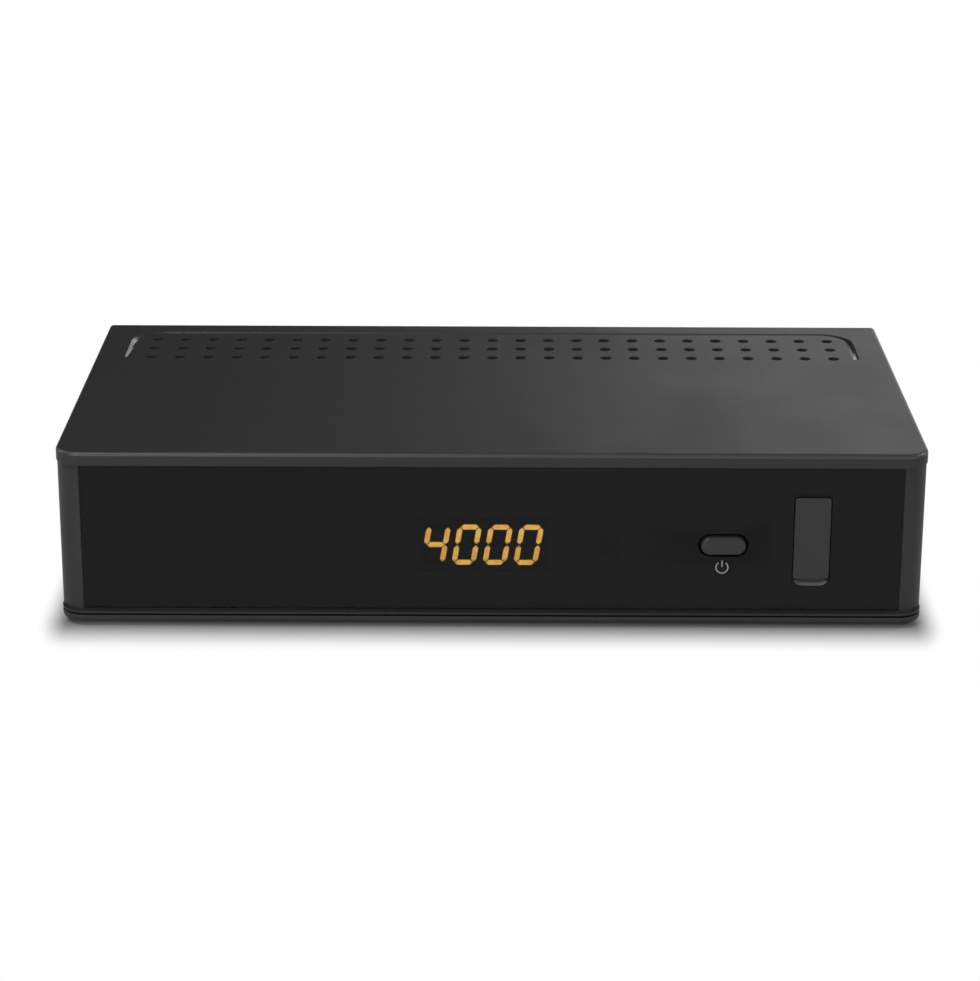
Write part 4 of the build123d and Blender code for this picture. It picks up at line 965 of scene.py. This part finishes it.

# %% [markdown]
# ## The window
# The window is a flat pane of smoked acrylic, cut by laser and polished. The rings of its outline
# give it a fine broken edge in front. Cutters with the same broken edge open the hole for the
# button and the one for the flap, and a shallow scoop below the flap lets a fingernail under it.
# The scoop was milled, so it is matt, and its faces that look up are drawn a paler grey: a painted
# highlight from the light above, against the black and bright pane around it.


# %% Pane
def standing_plate(low, high, near, far, levels, steps=CORNER_STEPS):
    """A plate that fills a box seen from the front, through rings given as (inset, depth)."""
    return loft([facing(rounded(low.x, high.x, low.z, high.z, near, far, inset, steps), y)
                 for inset, y in levels])


PANE_EDGE = ((0.0, 0.15), (0.04, 0.04), (0.15, 0.0))    # inset and depth of its broken edge
pane_front, pane_back = window_low.y, window_high.y
pane_levels = [(0.0, pane_back)] + [(inset, pane_front + depth) for inset, depth in PANE_EDGE]
pane = mesh_piece("window_pane", [
    standing_plate(window_low, window_high, 0.2, 0.2, pane_levels, 3)])
print("thickness of the pane, mm:", round(pane_back - pane_front, 2))

# %% Openings for the button and the flap
BUTTON_SIZE = (11.5, 4.8)
BUTTON_PLAY = (1.0, 1.1)
FLAP_PLAY = 0.25
FLAP_SIDE_PLAY = 0.12
button_low, button_high = box_mm("power_button")
flap_low, flap_high = box_mm("usb_flap")
button_x, button_z = middle("power_button")
flap_x = middle("usb_flap")[0]
flap_half = (flap_high.x - flap_low.x) / 2 - 0.3    # of the scoop and of the flap's knuckle


def through_pane(outline):
    """A cutter that goes through the pane, and opens a little at its face."""
    depths = ((0.0, pane_back + 0.5), (0.0, pane_front + 0.12), (0.12, pane_front),
              (0.3, pane_front - 0.2))
    return loft([facing(outline(grow), y) for grow, y in depths])


def button_opening(grow):
    """Outline of the button's hole, let out by so much."""
    width, height = (size + play + 2 * grow for size, play in zip(BUTTON_SIZE, BUTTON_PLAY))
    return obround(button_x, button_z, width, height)


def flap_opening(grow):
    """Outline of the flap's hole, let out by so much."""
    play, side = FLAP_PLAY + grow, FLAP_SIDE_PLAY + grow
    return rounded(flap_low.x - side, flap_high.x + side,
                   flap_low.z - play, flap_high.z + play, 0.2, 1.0)


print("middle of the button, mm:", round(button_x, 2), round(button_z, 2))

# %% Scoop for a fingernail, and room for the flap's top edge
NOTCH_DEPTH = 1.5
notch_top = flap_low.z - FLAP_PLAY


def notch_ring(half, depth, y):
    """A shallow scoop with a flat foot, which hangs from the lower edge of the flap's opening."""
    spread = [math.sin(math.pi / 2 * (i / 12 - 1)) for i in range(25)]
    curve = [(flap_x + half * s, notch_top - depth * math.sqrt(1 - s ** 4)) for s in spread]
    return facing(curve + [(flap_x + half, notch_top + 0.4), (flap_x - half, notch_top + 0.4)], y)


notch = loft([notch_ring(flap_half - 0.6, NOTCH_DEPTH - 0.7, pane_back + 0.02),
              notch_ring(flap_half, NOTCH_DEPTH, pane_front),
              notch_ring(flap_half + 0.05, NOTCH_DEPTH + 0.1, pane_front - 0.1)])
wedge = ((pane_front + 0.2, flap_high.z + 0.15), (pane_back + 0.1, flap_high.z + 0.15),
         (pane_back + 0.1, flap_high.z + 1.15))
top_room = loft([[Vector((x, y, z)) for y, z in wedge]
                 for x in (flap_low.x - FLAP_PLAY, flap_high.x + FLAP_PLAY)])
boolean(pane, [through_pane(button_opening), through_pane(flap_opening), notch, top_room])
# The scoop's faces that look up take a paler grey: matt from milling, and a painted highlight where
# the light from above falls.
milled_highlit_acrylic = finish("acrylic_smoked_milled", "#3c3c3e", "#49494b", 0.42, 0.3, 0.008)
pane.data.materials.clear()
pane.data.materials.append(smoked_acrylic)
pane.data.materials.append(milled_highlit_acrylic)
for face in pane.data.polygons:
    x, y, z = face.center / MM
    if z < notch_top and face.normal.z > 0.3 and abs(x - flap_x) < flap_half:
        face.material_index = int(y > pane_front)
settle(pane, "window_acrylic", "front_window")

# %% [markdown]
# ## The button and the flap
# Both are small mouldings in a matt black that differs a little from the gloss window. The button
# is a bar with round ends and a bevelled rim, on lugs and a stem. The flap is a plate with two
# rounded corners and a knuckle behind its top edge, where the pin goes through. Rings give both
# their rims, because a bevel of one width can't hold a rim that changes its slope.


# %% Button with its lugs and stem
def turned_back(profile, sides, x, y, z, closed=False):
    """A turned part whose axis runs to the back from a place."""
    return moved(turned(profile, sides, closed), at(x, y, z, -90))


CAP_EDGE = ((0.0, 0.52), (0.06, 0.4), (0.40, 0.05), (0.54, 0.0))    # inset and depth of its rim
LUG = 1.4                        # thickness of the lugs, which stop the button in the pane
lug_y = pane_back + 4.5
lug_half = BUTTON_SIZE[0] / 2 + 2.2
half_tall = BUTTON_SIZE[1] / 2
crown = [(0.0, lug_y + 0.1)] + [(inset, button_low.y + depth) for inset, depth in CAP_EDGE]
crown += [(1.2, button_low.y)]
cap = mesh_piece("button_cap", [loft([facing(obround(button_x, button_z, *BUTTON_SIZE, inset), y)
                                      for inset, y in crown])], control_abs)
stem_y = lug_y + LUG - 0.2
boolean(cap, [
    block(button_x - lug_half, button_x + lug_half, lug_y, lug_y + LUG,
          button_z - half_tall, button_z + half_tall, 0.2),
    turned_back([(1.6, 0.0), (1.6, button_high.y - stem_y)], 24, button_x, stem_y, button_z)], "UNION")
settle(cap, "control_abs", "power_button")

# %% Flap with its knuckle
FLAP_PLATE = 1.2
FLAP_ROUND = 0.25
KNUCKLE = 0.95                   # radius of the knuckle
PIN_HOLE = 0.55                  # radius of its hole for the pin
hinge_y, hinge_z = pane_back + 1.0, flap_high.z - 2.1
flap_front = flap_low.y
flap_levels = [(0.12, flap_front + FLAP_PLATE), (0.0, flap_front + FLAP_PLATE - 0.12)]
flap_levels += [(inset, flap_front + FLAP_ROUND - rise) for inset, rise in round_over(FLAP_ROUND, 4)]
flap = mesh_piece("usb_flap_plate", [
    standing_plate(flap_low, flap_high, 0.3, 0.8, flap_levels)], control_abs)
hinge_line = at(flap_x, hinge_y, hinge_z, 90, "Y")
knuckle = moved(turned([(KNUCKLE, -flap_half), (KNUCKLE, flap_half)], 32), hinge_line)
arm = block(flap_x - flap_half, flap_x + flap_half, flap_front + 0.6, hinge_y,
            hinge_z - KNUCKLE, hinge_z + 0.6)
catch = block(flap_x - 2, flap_x + 2, flap_front + 1.0, flap_front + 2.0,
              flap_low.z + 0.6, flap_low.z + 1.4)
boolean(flap, [knuckle, arm, catch], "UNION")
boolean(flap, [moved(turned([(PIN_HOLE, -8), (PIN_HOLE, 8)], 24), hinge_line)])
settle(flap, "control_abs", "usb_flap")

# %% [markdown]
# ## Feet and screws
# The four feet are rubber pads with a rounded rim and a dished face, and the screws have a pan head
# with a cross. Both repeat, so a tree copies one of each to its places and turns the screws by
# chance, as a hand leaves them.

# %% Rubber feet
TIP = 0.0001                     # a turned part closes to this radius on its axis
foot = turned([(TIP, 0.25), (3.6, 0.2), (4.4, 0.0), (5.6, 0.0), (5.9, 0.12), (FOOT_RADIUS, 0.42),
               (FOOT_RADIUS, BASE_BOTTOM + SEAT_DEPTH)], 48)
feet = copies_at("foot_pads", foot, [(x, y, 0) for x, y in foot_places], foot_rubber)
settle(feet, "foot_rubber", "rubber_feet")


# %% Screws with a cross in the head
def cross_screw(head_radius, head_height, shank_radius, length):
    """A screw that points up, made as a mesh with its cross cut out, given back as a part."""
    r, h = head_radius, head_height
    pan = [(TIP, 0.0), (0.6 * r, 0.03 * h), (0.86 * r, 0.14 * h), (r, 0.42 * h), (r, 0.9 * h),
           (0.97 * r, h)]
    shank = [(shank_radius, h), (shank_radius, h + length - 0.8), (0.4 * shank_radius, h + length)]
    screw = mesh_piece("screw", [turned(pan + shank, 32)])
    wide, deep = 0.26 * r, 0.6 * h
    wing = loft([flat(rounded(-reach, reach, -wide / 2, wide / 2, 0.05, 0.05, 0.0, 2), z)
                 for reach, z in ((0.66 * r, -0.1), (0.62 * r, 0.1 * h), (0.3 * r, deep))])
    boolean(screw, [moved(wing, Matrix.Rotation(math.radians(turn), 4, "Z")) for turn in (0, 90)])
    return as_part(screw)


HEAD_Z = 5.8                     # underside of the heads of the case screws
case_screw = cross_screw(2.8, HEAD_SEAT - HEAD_Z, 1.5, 16.0)
screws = copies_at("case_screws_cross", case_screw, [(x, y, HEAD_Z) for x, y in screw_places],
                   black_zinc, 360)
settle(screws, "black_steel", "case_screws")

# %% [markdown]
# ## The rear sheet
# The back of the case is a 1 mm steel sheet. Each cut-out was punched, so its edge is crisp, and the
# powder coat rounds it only a little. A tree punches the row of air holes, and cutters
# with the outline of each socket punch the rest. The frame knows where each socket
# sits, so every cut-out finds its own place.

# %% Punches for the sheet
PORT_RADIUS = 4.76               # three-eighths inch
AUDIO_COLLAR = 4.9
AV_HALF, AV_RISE = 23.6, 7.6     # half the width and height of the AV socket's cut-out
AV_SCREW = 27.2                  # its screws are this far from its middle
VIDEO_TALL = 5.9                 # height of the video socket behind its cut-out
av_x, av_z = -31.0, board_low.z + 1.6 + 9.0
port_x = {name: middle(name)[0] for name in ("lnb_in_port", "lnb_out_port")}
port_z = middle("lnb_in_port")[1]
audio_x, audio_z = middle("spdif_sleeve")
punch_depths = ((0.0, sheet_low.y - 1), (0.0, sheet_high.y - 0.08), (0.2, sheet_high.y + 0.1))


def punch(outline):
    """A cutter through the sheet, which opens a little at its outer face."""
    return loft([facing(outline(grow), y) for grow, y in punch_depths])


def round_punch(x, z, radius):
    """A cutter for a round hole."""
    return punch(lambda grow: arc((x, z), radius + grow, 0, 360 - 7.5, 47))


def box_punch(low, high, play, flare=1.0):
    """A cutter for a cut-out with small corners round a box, with some play."""
    def outline(grow):
        out = play + flare * grow
        return rounded(low.x - out, high.x + out, low.z - out, high.z + out, 0.3, 0.3, 0.0, 3)
    return punch(outline)


def av_outline(grow):
    """Outline of the AV socket: a bar with one corner cut off at a slant."""
    w, h = AV_HALF + grow, AV_RISE + grow
    return [(av_x + x, av_z + z) for x, z in ((-w, -h), (w, -h), (w, h - 5.0), (w - 3.6, h), (-w, h))]


print("aerial ports at, mm:", [round(x, 1) for x in port_x.values()])

# %% Sheet and its cut-outs
AIR_HOLES = 12
AIR_HOLE_PITCH = 6.0
air_x, air_z = 11.0, 36.0
sheet_edge = ((0.08, sheet_low.y), (0.0, sheet_low.y + 0.08), (0.0, sheet_high.y - 0.08),
              (0.08, sheet_high.y))
sheet = mesh_piece("rear_sheet", [
    standing_plate(sheet_low, sheet_high, 0.5, 0.5, sheet_edge, 3)], powder_coat)
video_low, video_high = box_mm("hdmi_shell")
video_low.z = video_high.z - VIDEO_TALL
boolean(sheet, [
    *(round_punch(x, port_z, PORT_RADIUS + 0.1) for x in port_x.values()),
    round_punch(audio_x, audio_z, AUDIO_COLLAR + 0.1),
    *(round_punch(av_x + side * AV_SCREW, av_z, 1.55) for side in (-1, 1)),
    box_punch(*box_mm("ethernet_socket"), 0.2), punch(av_outline), box_punch(*box_mm("dc_jack"), 0.15),
    box_punch(video_low, video_high, 0.3), box_punch(*box_mm("power_switch"), -1.0, 0.0)])
air_hole = turned([(1.6, -0.6), (1.6, 0.42), (1.8, 0.6)], 28)
pierce(sheet, moved(air_hole, at(0, 0, 0, -90)), AIR_HOLES, 1, AIR_HOLE_PITCH, 0.0,
       (air_x, (sheet_low.y + sheet_high.y) / 2, air_z), powder_coat)
settle(sheet, "painted_steel", "rear_panel")

# %% [markdown]
# ## The aerial ports
# Each port is a brass barrel with a three-eighths inch thread, 32 turns to the inch, nickel plated.
# The barrel is turned as a plain tube with enough rings, and the tree then sinks its outer wall
# along a helix. White plastic fills the tube, and a washer and a hexagon nut clamp it to the sheet.

# %% Threaded barrels
THREAD_PITCH = 25.4 / 32
THREAD_DEPTH = 0.42
RELIEF = 0.4                     # depth of the turned relief before the thread, and of its lead
NUT_THICK = 2.5
WASHER_THICK = 0.6
BORE = 3.4
FACING_BACK = Matrix.Rotation(math.radians(-90), 4, "X")
port_low, port_high = box_mm("lnb_in_port")
barrel_long = port_high.y - port_low.y
thread_start = sheet_high.y + WASHER_THICK + NUT_THICK + 0.5 - port_low.y
thread_end = barrel_long - 0.4
ring_step = THREAD_PITCH / 8
relief_radius = PORT_RADIUS - RELIEF
barrel_profile = [(BORE, 0.0), (PORT_RADIUS, 0.0), (PORT_RADIUS, thread_start - 0.5),
                  (relief_radius, thread_start - 0.45), (relief_radius, thread_start - 0.05)]
barrel_profile += [(PORT_RADIUS, thread_start + step * ring_step)
                   for step in range(int((thread_end - thread_start) / ring_step) + 1)]
barrel_profile += [(relief_radius, barrel_long), (BORE + 0.15, barrel_long),
                   (BORE, barrel_long - 0.15)]
for name, x in port_x.items():
    barrel = mesh_piece(name.replace("_port", "_barrel"), [turned(barrel_profile, 48, True)])
    run_tree(barrel, thread_tree, {
        "Start": thread_start * MM, "End": thread_end * MM, "Barrel radius": PORT_RADIUS * MM,
        "Pitch": THREAD_PITCH * MM, "Depth": THREAD_DEPTH * MM, "Material": nickel_plate})
    barrel.data.transform(Matrix.Translation(Vector((x, port_low.y, port_z)) * MM) @ FACING_BACK)
    settle(barrel, "nickel_plate", name)


# %% Insulators and washers
def on_ports(name, part, y, material, slot, node, most_turn=0.0):
    """One piece with a copy of a turned part on each aerial port."""
    places = [(x, y, port_z) for x in port_x.values()]
    settle(copies_at(name, part, places, material, most_turn, FACING_BACK), slot, node)


core_end = barrel_long - 0.5
hole_foot = barrel_long - 7      # the pin of the plug goes in this far
core = turned([(TIP, 0.0), (BORE, 0.0), (BORE, core_end - 0.12), (BORE - 0.12, core_end),
               (1.5, core_end), (0.8, core_end - 0.45), (0.6, core_end - 0.9), (0.6, hole_foot),
               (TIP, hole_foot)], 40)
on_ports("port_cores", core, port_low.y, white_insulator, "white_insulator", "port_insulators")
snug = PORT_RADIUS + 0.02
washer = turned([(snug, 0.0), (6.9, 0.0), (7.0, 0.1), (7.0, WASHER_THICK - 0.1), (6.9, WASHER_THICK),
                 (snug, WASHER_THICK)], 48, True)
on_ports("port_washer_rings", washer, sheet_high.y, zinc_plate, "zinc_steel", "port_washers")


# %% Hexagon nuts
def hexagon_nut(flat_half, thickness, hole):
    """A nut along Z whose corners are turned off at both faces, and with the hole broken open."""
    corner_radius = flat_half / math.cos(math.pi / 6)
    hexagon = arc((0, 0), corner_radius, 0, 300, 5)
    nut = mesh_piece("nut", [loft([flat(hexagon, 0), flat(hexagon, thickness)])])
    worn = 0.92 * flat_half
    slope = 0.5 * (corner_radius - worn)
    outside = corner_radius + 0.1
    boolean(nut, [turned([(TIP, 0.0), (worn, 0.0), (outside, slope), (outside, thickness - slope),
                          (worn, thickness), (TIP, thickness)], 48)], "INTERSECT")
    boolean(nut, [turned([(hole + 0.35, -0.1), (hole, 0.3), (hole, thickness - 0.3),
                          (hole + 0.35, thickness + 0.1)], 48)])
    return as_part(nut)


nut = hexagon_nut(5.5, NUT_THICK, PORT_RADIUS + 0.01)
nut_y = sheet_high.y + WASHER_THICK
on_ports("port_hexagon_nuts", nut, nut_y, nickel_plate, "nickel_plate", "port_nuts", 60)

# %% [markdown]
# ## The audio socket
# The digital audio socket is a moulded block with an orange collar, which is the colour for this
# kind of signal. A plated sleeve is pressed into the collar, and a second orange moulding inside it
# has the hole for the plug's pin. All three are turned round one axis, so their profiles
# share the radii at which they touch.


# %% Audio socket
def box_block(low, high, edge):
    """A block that fills a box."""
    return block(low.x, high.x, low.y, high.y, low.z, high.z, edge)


COLLAR_ROOT = 0.6                # how deep the collar is rooted in the block
SLEEVE_BORE = 3.2
SLEEVE_SEAT = 3.8                # radius of the sleeve where the collar grips it
SLEEVE_RADIUS = 4.15
SEAT_LONG = 3.0
body_low, body_high = box_mm("spdif_body")
sleeve_low, sleeve_high = box_mm("spdif_sleeve")
root_y = sleeve_low.y
body_face = Vector((body_high.x, slot_front, body_high.z))
audio = mesh_piece("audio_socket_body", [box_block(body_low, body_face, 0.2)], orange_insulator)
collar_long = body_high.y - sheet_low.y + COLLAR_ROOT
boolean(audio, [turned_back([
    (AUDIO_COLLAR, 0.0), (AUDIO_COLLAR, collar_long - 0.2), (AUDIO_COLLAR - 0.2, collar_long)],
    48, audio_x, sheet_low.y - COLLAR_ROOT, audio_z)], "UNION")
boolean(audio, [turned_back([(SLEEVE_SEAT, 0.0), (SLEEVE_SEAT, 2.8), (SLEEVE_SEAT + 0.3, 3.1)],
                            40, audio_x, root_y, audio_z)])
settle(audio, "orange_insulator", "spdif_body")

# %% Its sleeve and insert
sleeve_long = sleeve_high.y - root_y
sleeve = turned_back([
    (SLEEVE_BORE, 0.0), (SLEEVE_SEAT, 0.0), (SLEEVE_SEAT, SEAT_LONG), (SLEEVE_RADIUS, SEAT_LONG),
    (SLEEVE_RADIUS, sleeve_long - 0.25), (SLEEVE_RADIUS - 0.2, sleeve_long), (3.4, sleeve_long),
    (SLEEVE_BORE, sleeve_long - 0.2)], 48, audio_x, root_y, audio_z, True)
settle(mesh_piece("audio_sleeve", [sleeve], nickel_plate), "nickel_plate", "spdif_sleeve")
fill_end = sleeve_long - 0.6
fill = turned_back([
    (TIP, 0.0), (SLEEVE_BORE, 0.0), (SLEEVE_BORE, fill_end - 0.1), (3.1, fill_end), (1.9, fill_end),
    (1.65, fill_end - 0.3), (1.65, 1.0), (TIP, 1.0)], 40, audio_x, root_y, audio_z)
settle(mesh_piece("audio_insert", [fill], orange_insulator), "orange_insulator", "spdif_insert")

# %% [markdown]
# ## The other sockets, the inlet and the switch
# The form of these came right from the CAD model. Folded sheet and mouldings have a small radius
# on each edge, so they take the same bevel as the fascia, finer on metal than on plastic.
# Four gold-flashed strips lie on the tongue of the USB socket. The power inlet is round
# inside, the rocker's polished faces need a broader radius, and two screws hold the AV socket.

# %% Softened sockets
SOFT_PARTS = {"network_socket": ("ethernet_socket", 0.12), "video_shell": ("hdmi_shell", 0.08),
              "video_tongue": ("hdmi_tongue", 0.08), "av_socket": ("scart_socket", 0.14),
              "switch_housing": ("power_switch", 0.18), "usb_metal_shell": ("usb_shell", 0.08),
              "usb_tongue": ("usb_insert", 0.1), "card_socket": ("card_reader", 0.1)}
for name, (node, edge) in SOFT_PARTS.items():
    settle(softened(name, node, edge), slot_of[node], node)

# %% Contacts of the USB socket
STRIP_STEPS = (-3.5, -1.0, 1.0, 3.5)
usb_x, usb_z = middle("usb_shell")
strip = block(0.0, 0.08, 0.0, 7.5, -0.5, 0.5, 0.02)
strip_y = box_mm("usb_insert")[0].y + 0.9
strip_places = [(usb_x - 0.2, strip_y, usb_z + step) for step in STRIP_STEPS]
contacts = copies_at("usb_contacts", strip, strip_places, gold_flash)
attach(contacts, body_of["usb_insert"])
print(contacts.name, "faces:", len(contacts.data.polygons))

# %% Rocker, inlet and its pin
INLET_DEEP = 9.5
INLET_RADIUS = 3.15
rocker = softened("rocker_key", "power_rocker", 0.35, 3)
settle(rocker, "black_moulding", "power_rocker")
inlet_low, inlet_high = box_mm("dc_jack")
pin_low, pin_high = box_mm("dc_pin")
inlet_x, inlet_z = middle("dc_pin")
inlet = mesh_piece("power_inlet", [box_block(inlet_low, inlet_high, 0.2)], black_moulding)
boolean(inlet, [turned_back([
    (INLET_RADIUS, 0.0), (INLET_RADIUS, INLET_DEEP - 0.4), (INLET_RADIUS + 0.45, INLET_DEEP + 0.05)],
    40, inlet_x, inlet_high.y - INLET_DEEP, inlet_z)])
settle(inlet, "black_moulding", "dc_jack")
pin_long = pin_high.y - pin_low.y
pin = turned_back([(1.05, 0.0), (1.05, pin_long - 0.5), (0.9, pin_long - 0.2), (0.6, pin_long - 0.04),
                   (TIP, pin_long)], 28, inlet_x, pin_low.y, inlet_z)
settle(mesh_piece("inlet_pin", [pin], nickel_plate), "nickel_plate", "dc_pin")

# %% Screws of the AV socket
AV_HEAD = 1.8
av_screw = cross_screw(2.6, AV_HEAD, 1.5, 5.0)
av_places = [(av_x + side * AV_SCREW, sheet_high.y + AV_HEAD, av_z) for side in (-1, 1)]
av_screws = copies_at("av_screws_cross", av_screw, av_places, zinc_plate, 360,
                      Matrix.Rotation(math.radians(90), 4, "X"))
settle(av_screws, "zinc_steel", "scart_screws")

# %% [markdown]
# ## The standby symbol
# The symbol for standby, an open ring with an upright bar, is printed on the face of the window
# under its button. Silkscreen ink lies about 0.02 mm thick, so the print is a piece of its own with
# that thickness, in a light grey with the slight unevenness of ink.

# %% Printed symbol
INK = 0.02
OFF_PANE = 0.001                 # a hair's breadth keeps the ink off the pane's own face
STROKE = 0.28
RING = 1.52
GAP = (127, 413)                 # the ring is open at the top, between these angles
ring_x, ring_z = button_x - 0.2, button_z - 6.0
ink_grey = finish("ink_light_grey_printed", "#6e6e72", "#7c7c80", 0.6, 0.4)
outer_arc = arc((0, 0), RING + STROKE / 2, *GAP, 40)
inner_arc = arc((0, 0), RING - STROKE / 2, *GAP[::-1], 40)
bar = rounded(-STROKE / 2, STROKE / 2, 0.1, 1.9, 0.1, 0.1, 0.0, 3)
strokes = [loft([facing([(ring_x + x, ring_z + z) for x, z in stroke], pane_front - OFF_PANE - out)
                 for out in (0.0, INK)]) for stroke in (outer_arc + inner_arc, bar)]
symbol = mesh_piece("standby_print", strokes, ink_grey)
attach(symbol, body_of["front_window"])
print(symbol.name, "faces:", len(symbol.data.polygons))

# %% [markdown]
# ## The floor
# A pale floor carries the object. Near the case the paper is drawn dark grey for the camera, for
# reflections and through the window: a painted shadow, which the lamps' real shadows only shade a
# little more. Away from the object the floor is drawn as plain white for them, so the picture has a
# clean studio ground. The change follows the distance from the case: it is nothing under the case,
# and complete where the painted shadow has ended. Lamps still see matt white paper everywhere, which
# throws their light back up at the case.

# %% Floor
FLOOR_HALF = 12.0                # metres
floor_mesh = bpy.data.meshes.new("studio_floor")
floor_corners = [(x * FLOOR_HALF, y * FLOOR_HALF, 0) for x, y in ((-1, -1), (1, -1), (1, 1), (-1, 1))]
floor_mesh.from_pydata(floor_corners, [], [(0, 1, 2, 3)])
floor = new_object("studio_floor", floor_mesh)
print("floor, metres:", 2 * FLOOR_HALF)

# %% Matt paper with a painted shadow and a clean ground
PAINTED_SHADOW_CORNER = 6.0              # the painted shadow's outline is rounded by this much
PAINTED_SHADOW_REACH = 22.5              # and ends this far out
PAINTED_SHADOW_GREY = 0.12               # grey of the paper near the case for the camera: the painted shadow
SIDE_FALL = 2.5                  # the painted shadow is this much narrower at the sides than in front
paper, tree = new_material("paper_white_matt")
apart = add_node(tree, "ShaderNodeSeparateXYZ", {
    "Vector": add_node(tree, "ShaderNodeTexCoord").outputs["Object"]}).outputs
spans = (("X", 0.0, half_width - PAINTED_SHADOW_CORNER / SIDE_FALL, SIDE_FALL),
         ("Y", (case_front + case_back) / 2, (case_back - case_front) / 2 - PAINTED_SHADOW_CORNER, 1.0))
squares = []
for axis, centre, half, fall in spans:
    past = apart[axis]           # how far the floor is past the case along this axis, squared
    for operation, other in (("SUBTRACT", centre * MM), ("ABSOLUTE", 0.0), ("SUBTRACT", half * MM),
                             ("MAXIMUM", 0.0), ("MULTIPLY", fall), ("POWER", 2.0)):
        past = add_node(tree, "ShaderNodeMath", {0: past, 1: other}, operation=operation).outputs[0]
    squares.append(past)
total = add_node(tree, "ShaderNodeMath", {0: squares[0], 1: squares[1]}, operation="ADD").outputs[0]
distance = add_node(tree, "ShaderNodeMath", {0: total, 1: 0.5}, operation="POWER").outputs[0]
away = add_node(tree, "ShaderNodeMapRange", {
    "Value": distance, "From Max": PAINTED_SHADOW_REACH * MM},
    interpolation_type="SMOOTHSTEP").outputs["Result"]
rays = add_node(tree, "ShaderNodeLightPath").outputs
seen = rays["Is Camera Ray"]
for kind in ("Is Glossy Ray", "Is Transmission Ray"):
    seen = add_node(tree, "ShaderNodeMath", {0: seen, 1: rays[kind]}, operation="MAXIMUM").outputs[0]
share = add_node(tree, "ShaderNodeMath", {0: away, 1: seen}, operation="MULTIPLY").outputs[0]
# For the camera, reflections and the window the paper is dark grey near the case: a painted shadow
# that the white covers further out.
grey = add_node(tree, "ShaderNodeMapRange", {"Value": seen, "To Min": 0.95, "To Max": PAINTED_SHADOW_GREY})
matt = add_node(tree, "ShaderNodeBsdfDiffuse", {"Color": grey.outputs["Result"]})
white = add_node(tree, "ShaderNodeEmission", {"Color": (1, 1, 1, 1), "Strength": 1.0})
mixed = add_node(tree, "ShaderNodeMixShader", {0: share, 1: matt.outputs[0], 2: white.outputs[0]})
add_node(tree, "ShaderNodeOutputMaterial", {"Surface": mixed.outputs[0]})
floor_mesh.materials.append(paper)
print("nodes of the paper:", len(tree.nodes))

# %% [markdown]
# ## The lamps and the world
# Charcoal plastic shows its form by what it mirrors, so each softbox has a surface to light. Those
# behind and above draw the lid, those in front the window and the ledge, and those at the sides the
# rounded rim. The world is plain white to the camera, and so dim for everything else
# that it only lifts the darkest corners.

# %% World
world = bpy.data.worlds.new("studio")
bpy.context.scene.world = world
world.use_nodes = True
world.node_tree.nodes.clear()
tree = world.node_tree
dim = add_node(tree, "ShaderNodeBackground", {"Color": (1, 1, 1, 1), "Strength": 0.05})
clear = add_node(tree, "ShaderNodeBackground", {"Color": (1, 1, 1, 1), "Strength": 1.0})
camera_ray = add_node(tree, "ShaderNodeLightPath").outputs["Is Camera Ray"]
either = add_node(tree, "ShaderNodeMixShader", {0: camera_ray, 1: dim.outputs[0], 2: clear.outputs[0]})
add_node(tree, "ShaderNodeOutputWorld", {"Surface": either.outputs[0]})
print("nodes of the world:", len(tree.nodes))

# %% Softboxes
SOFTBOXES = (                    # name, place and size in metres, watts
    ("back_right_near", (0.32, 0.55, 0.24), 0.3, 0.42),
    ("back_right_far", (0.20, 0.75, 0.30), 0.3, 0.65),
    ("back_high", (0.1, 0.8, 1.0), 0.8, 0.8),
    ("overhead_left", (-0.35, -0.5, 0.8), 0.3, 6.0),
    ("overhead_right", (0.25, -0.35, 0.9), 0.3, 0.6),
    ("front_left", (-0.6, -1.3, 0.24), 0.6, 11.0),
    ("front_right", (0.7, -1.2, 0.24), 0.6, 6.0),
    ("side_right", (0.80, 0.13, 0.45), 0.3, 4.0),
    ("side_left", (-0.80, 0.13, 0.45), 0.3, 2.0))
AIM = Vector((0, 0, 0.02))       # all lamps face the middle of the case
for name, place, size, watts in SOFTBOXES:
    lamp = bpy.data.lights.new(name, "AREA")
    lamp.shape = "SQUARE"
    lamp.size = size
    lamp.energy = watts
    turn = (AIM - Vector(place)).to_track_quat("-Z", "Y").to_matrix().to_4x4()
    new_object(name, lamp).matrix_world = Matrix.Translation(place) @ turn
print("softboxes:", len(SOFTBOXES), "watts in all:", round(sum(row[3] for row in SOFTBOXES), 2))

# %% [markdown]
# ## The camera
# A lens of about 106 mm, three quarters of a metre away, looks down at the case by 19 degrees. So
# long a lens keeps the sides of the case nearly parallel, as pictures in a catalogue have them.

# %% Camera
LENS = 106.48                    # mm, on a sensor 36 mm wide
CAMERA_PLACE = (-0.00042, -0.7513, 0.27608)
LOOK_DOWN, LOOK_ASIDE, LEAN = 19.132, 0.004, 0.214    # degrees
camera_data = bpy.data.cameras.new("camera")
camera = new_object("camera", camera_data)
bpy.context.scene.camera = camera
camera_data.lens = LENS
camera_data.sensor_width = 36.0
camera_data.clip_start = 0.01
camera_data.clip_end = 50.0
camera.matrix_world = (Matrix.Translation(CAMERA_PLACE)
                       @ Matrix.Rotation(math.radians(LOOK_ASIDE), 4, "Z")
                       @ Matrix.Rotation(math.radians(90 - LOOK_DOWN), 4, "X")
                       @ Matrix.Rotation(math.radians(LEAN), 4, "Z"))
print("camera, metres from the middle:", round(Vector(CAMERA_PLACE).length, 3))

# %% Finish
bpy.context.scene.view_settings.view_transform = "Standard"
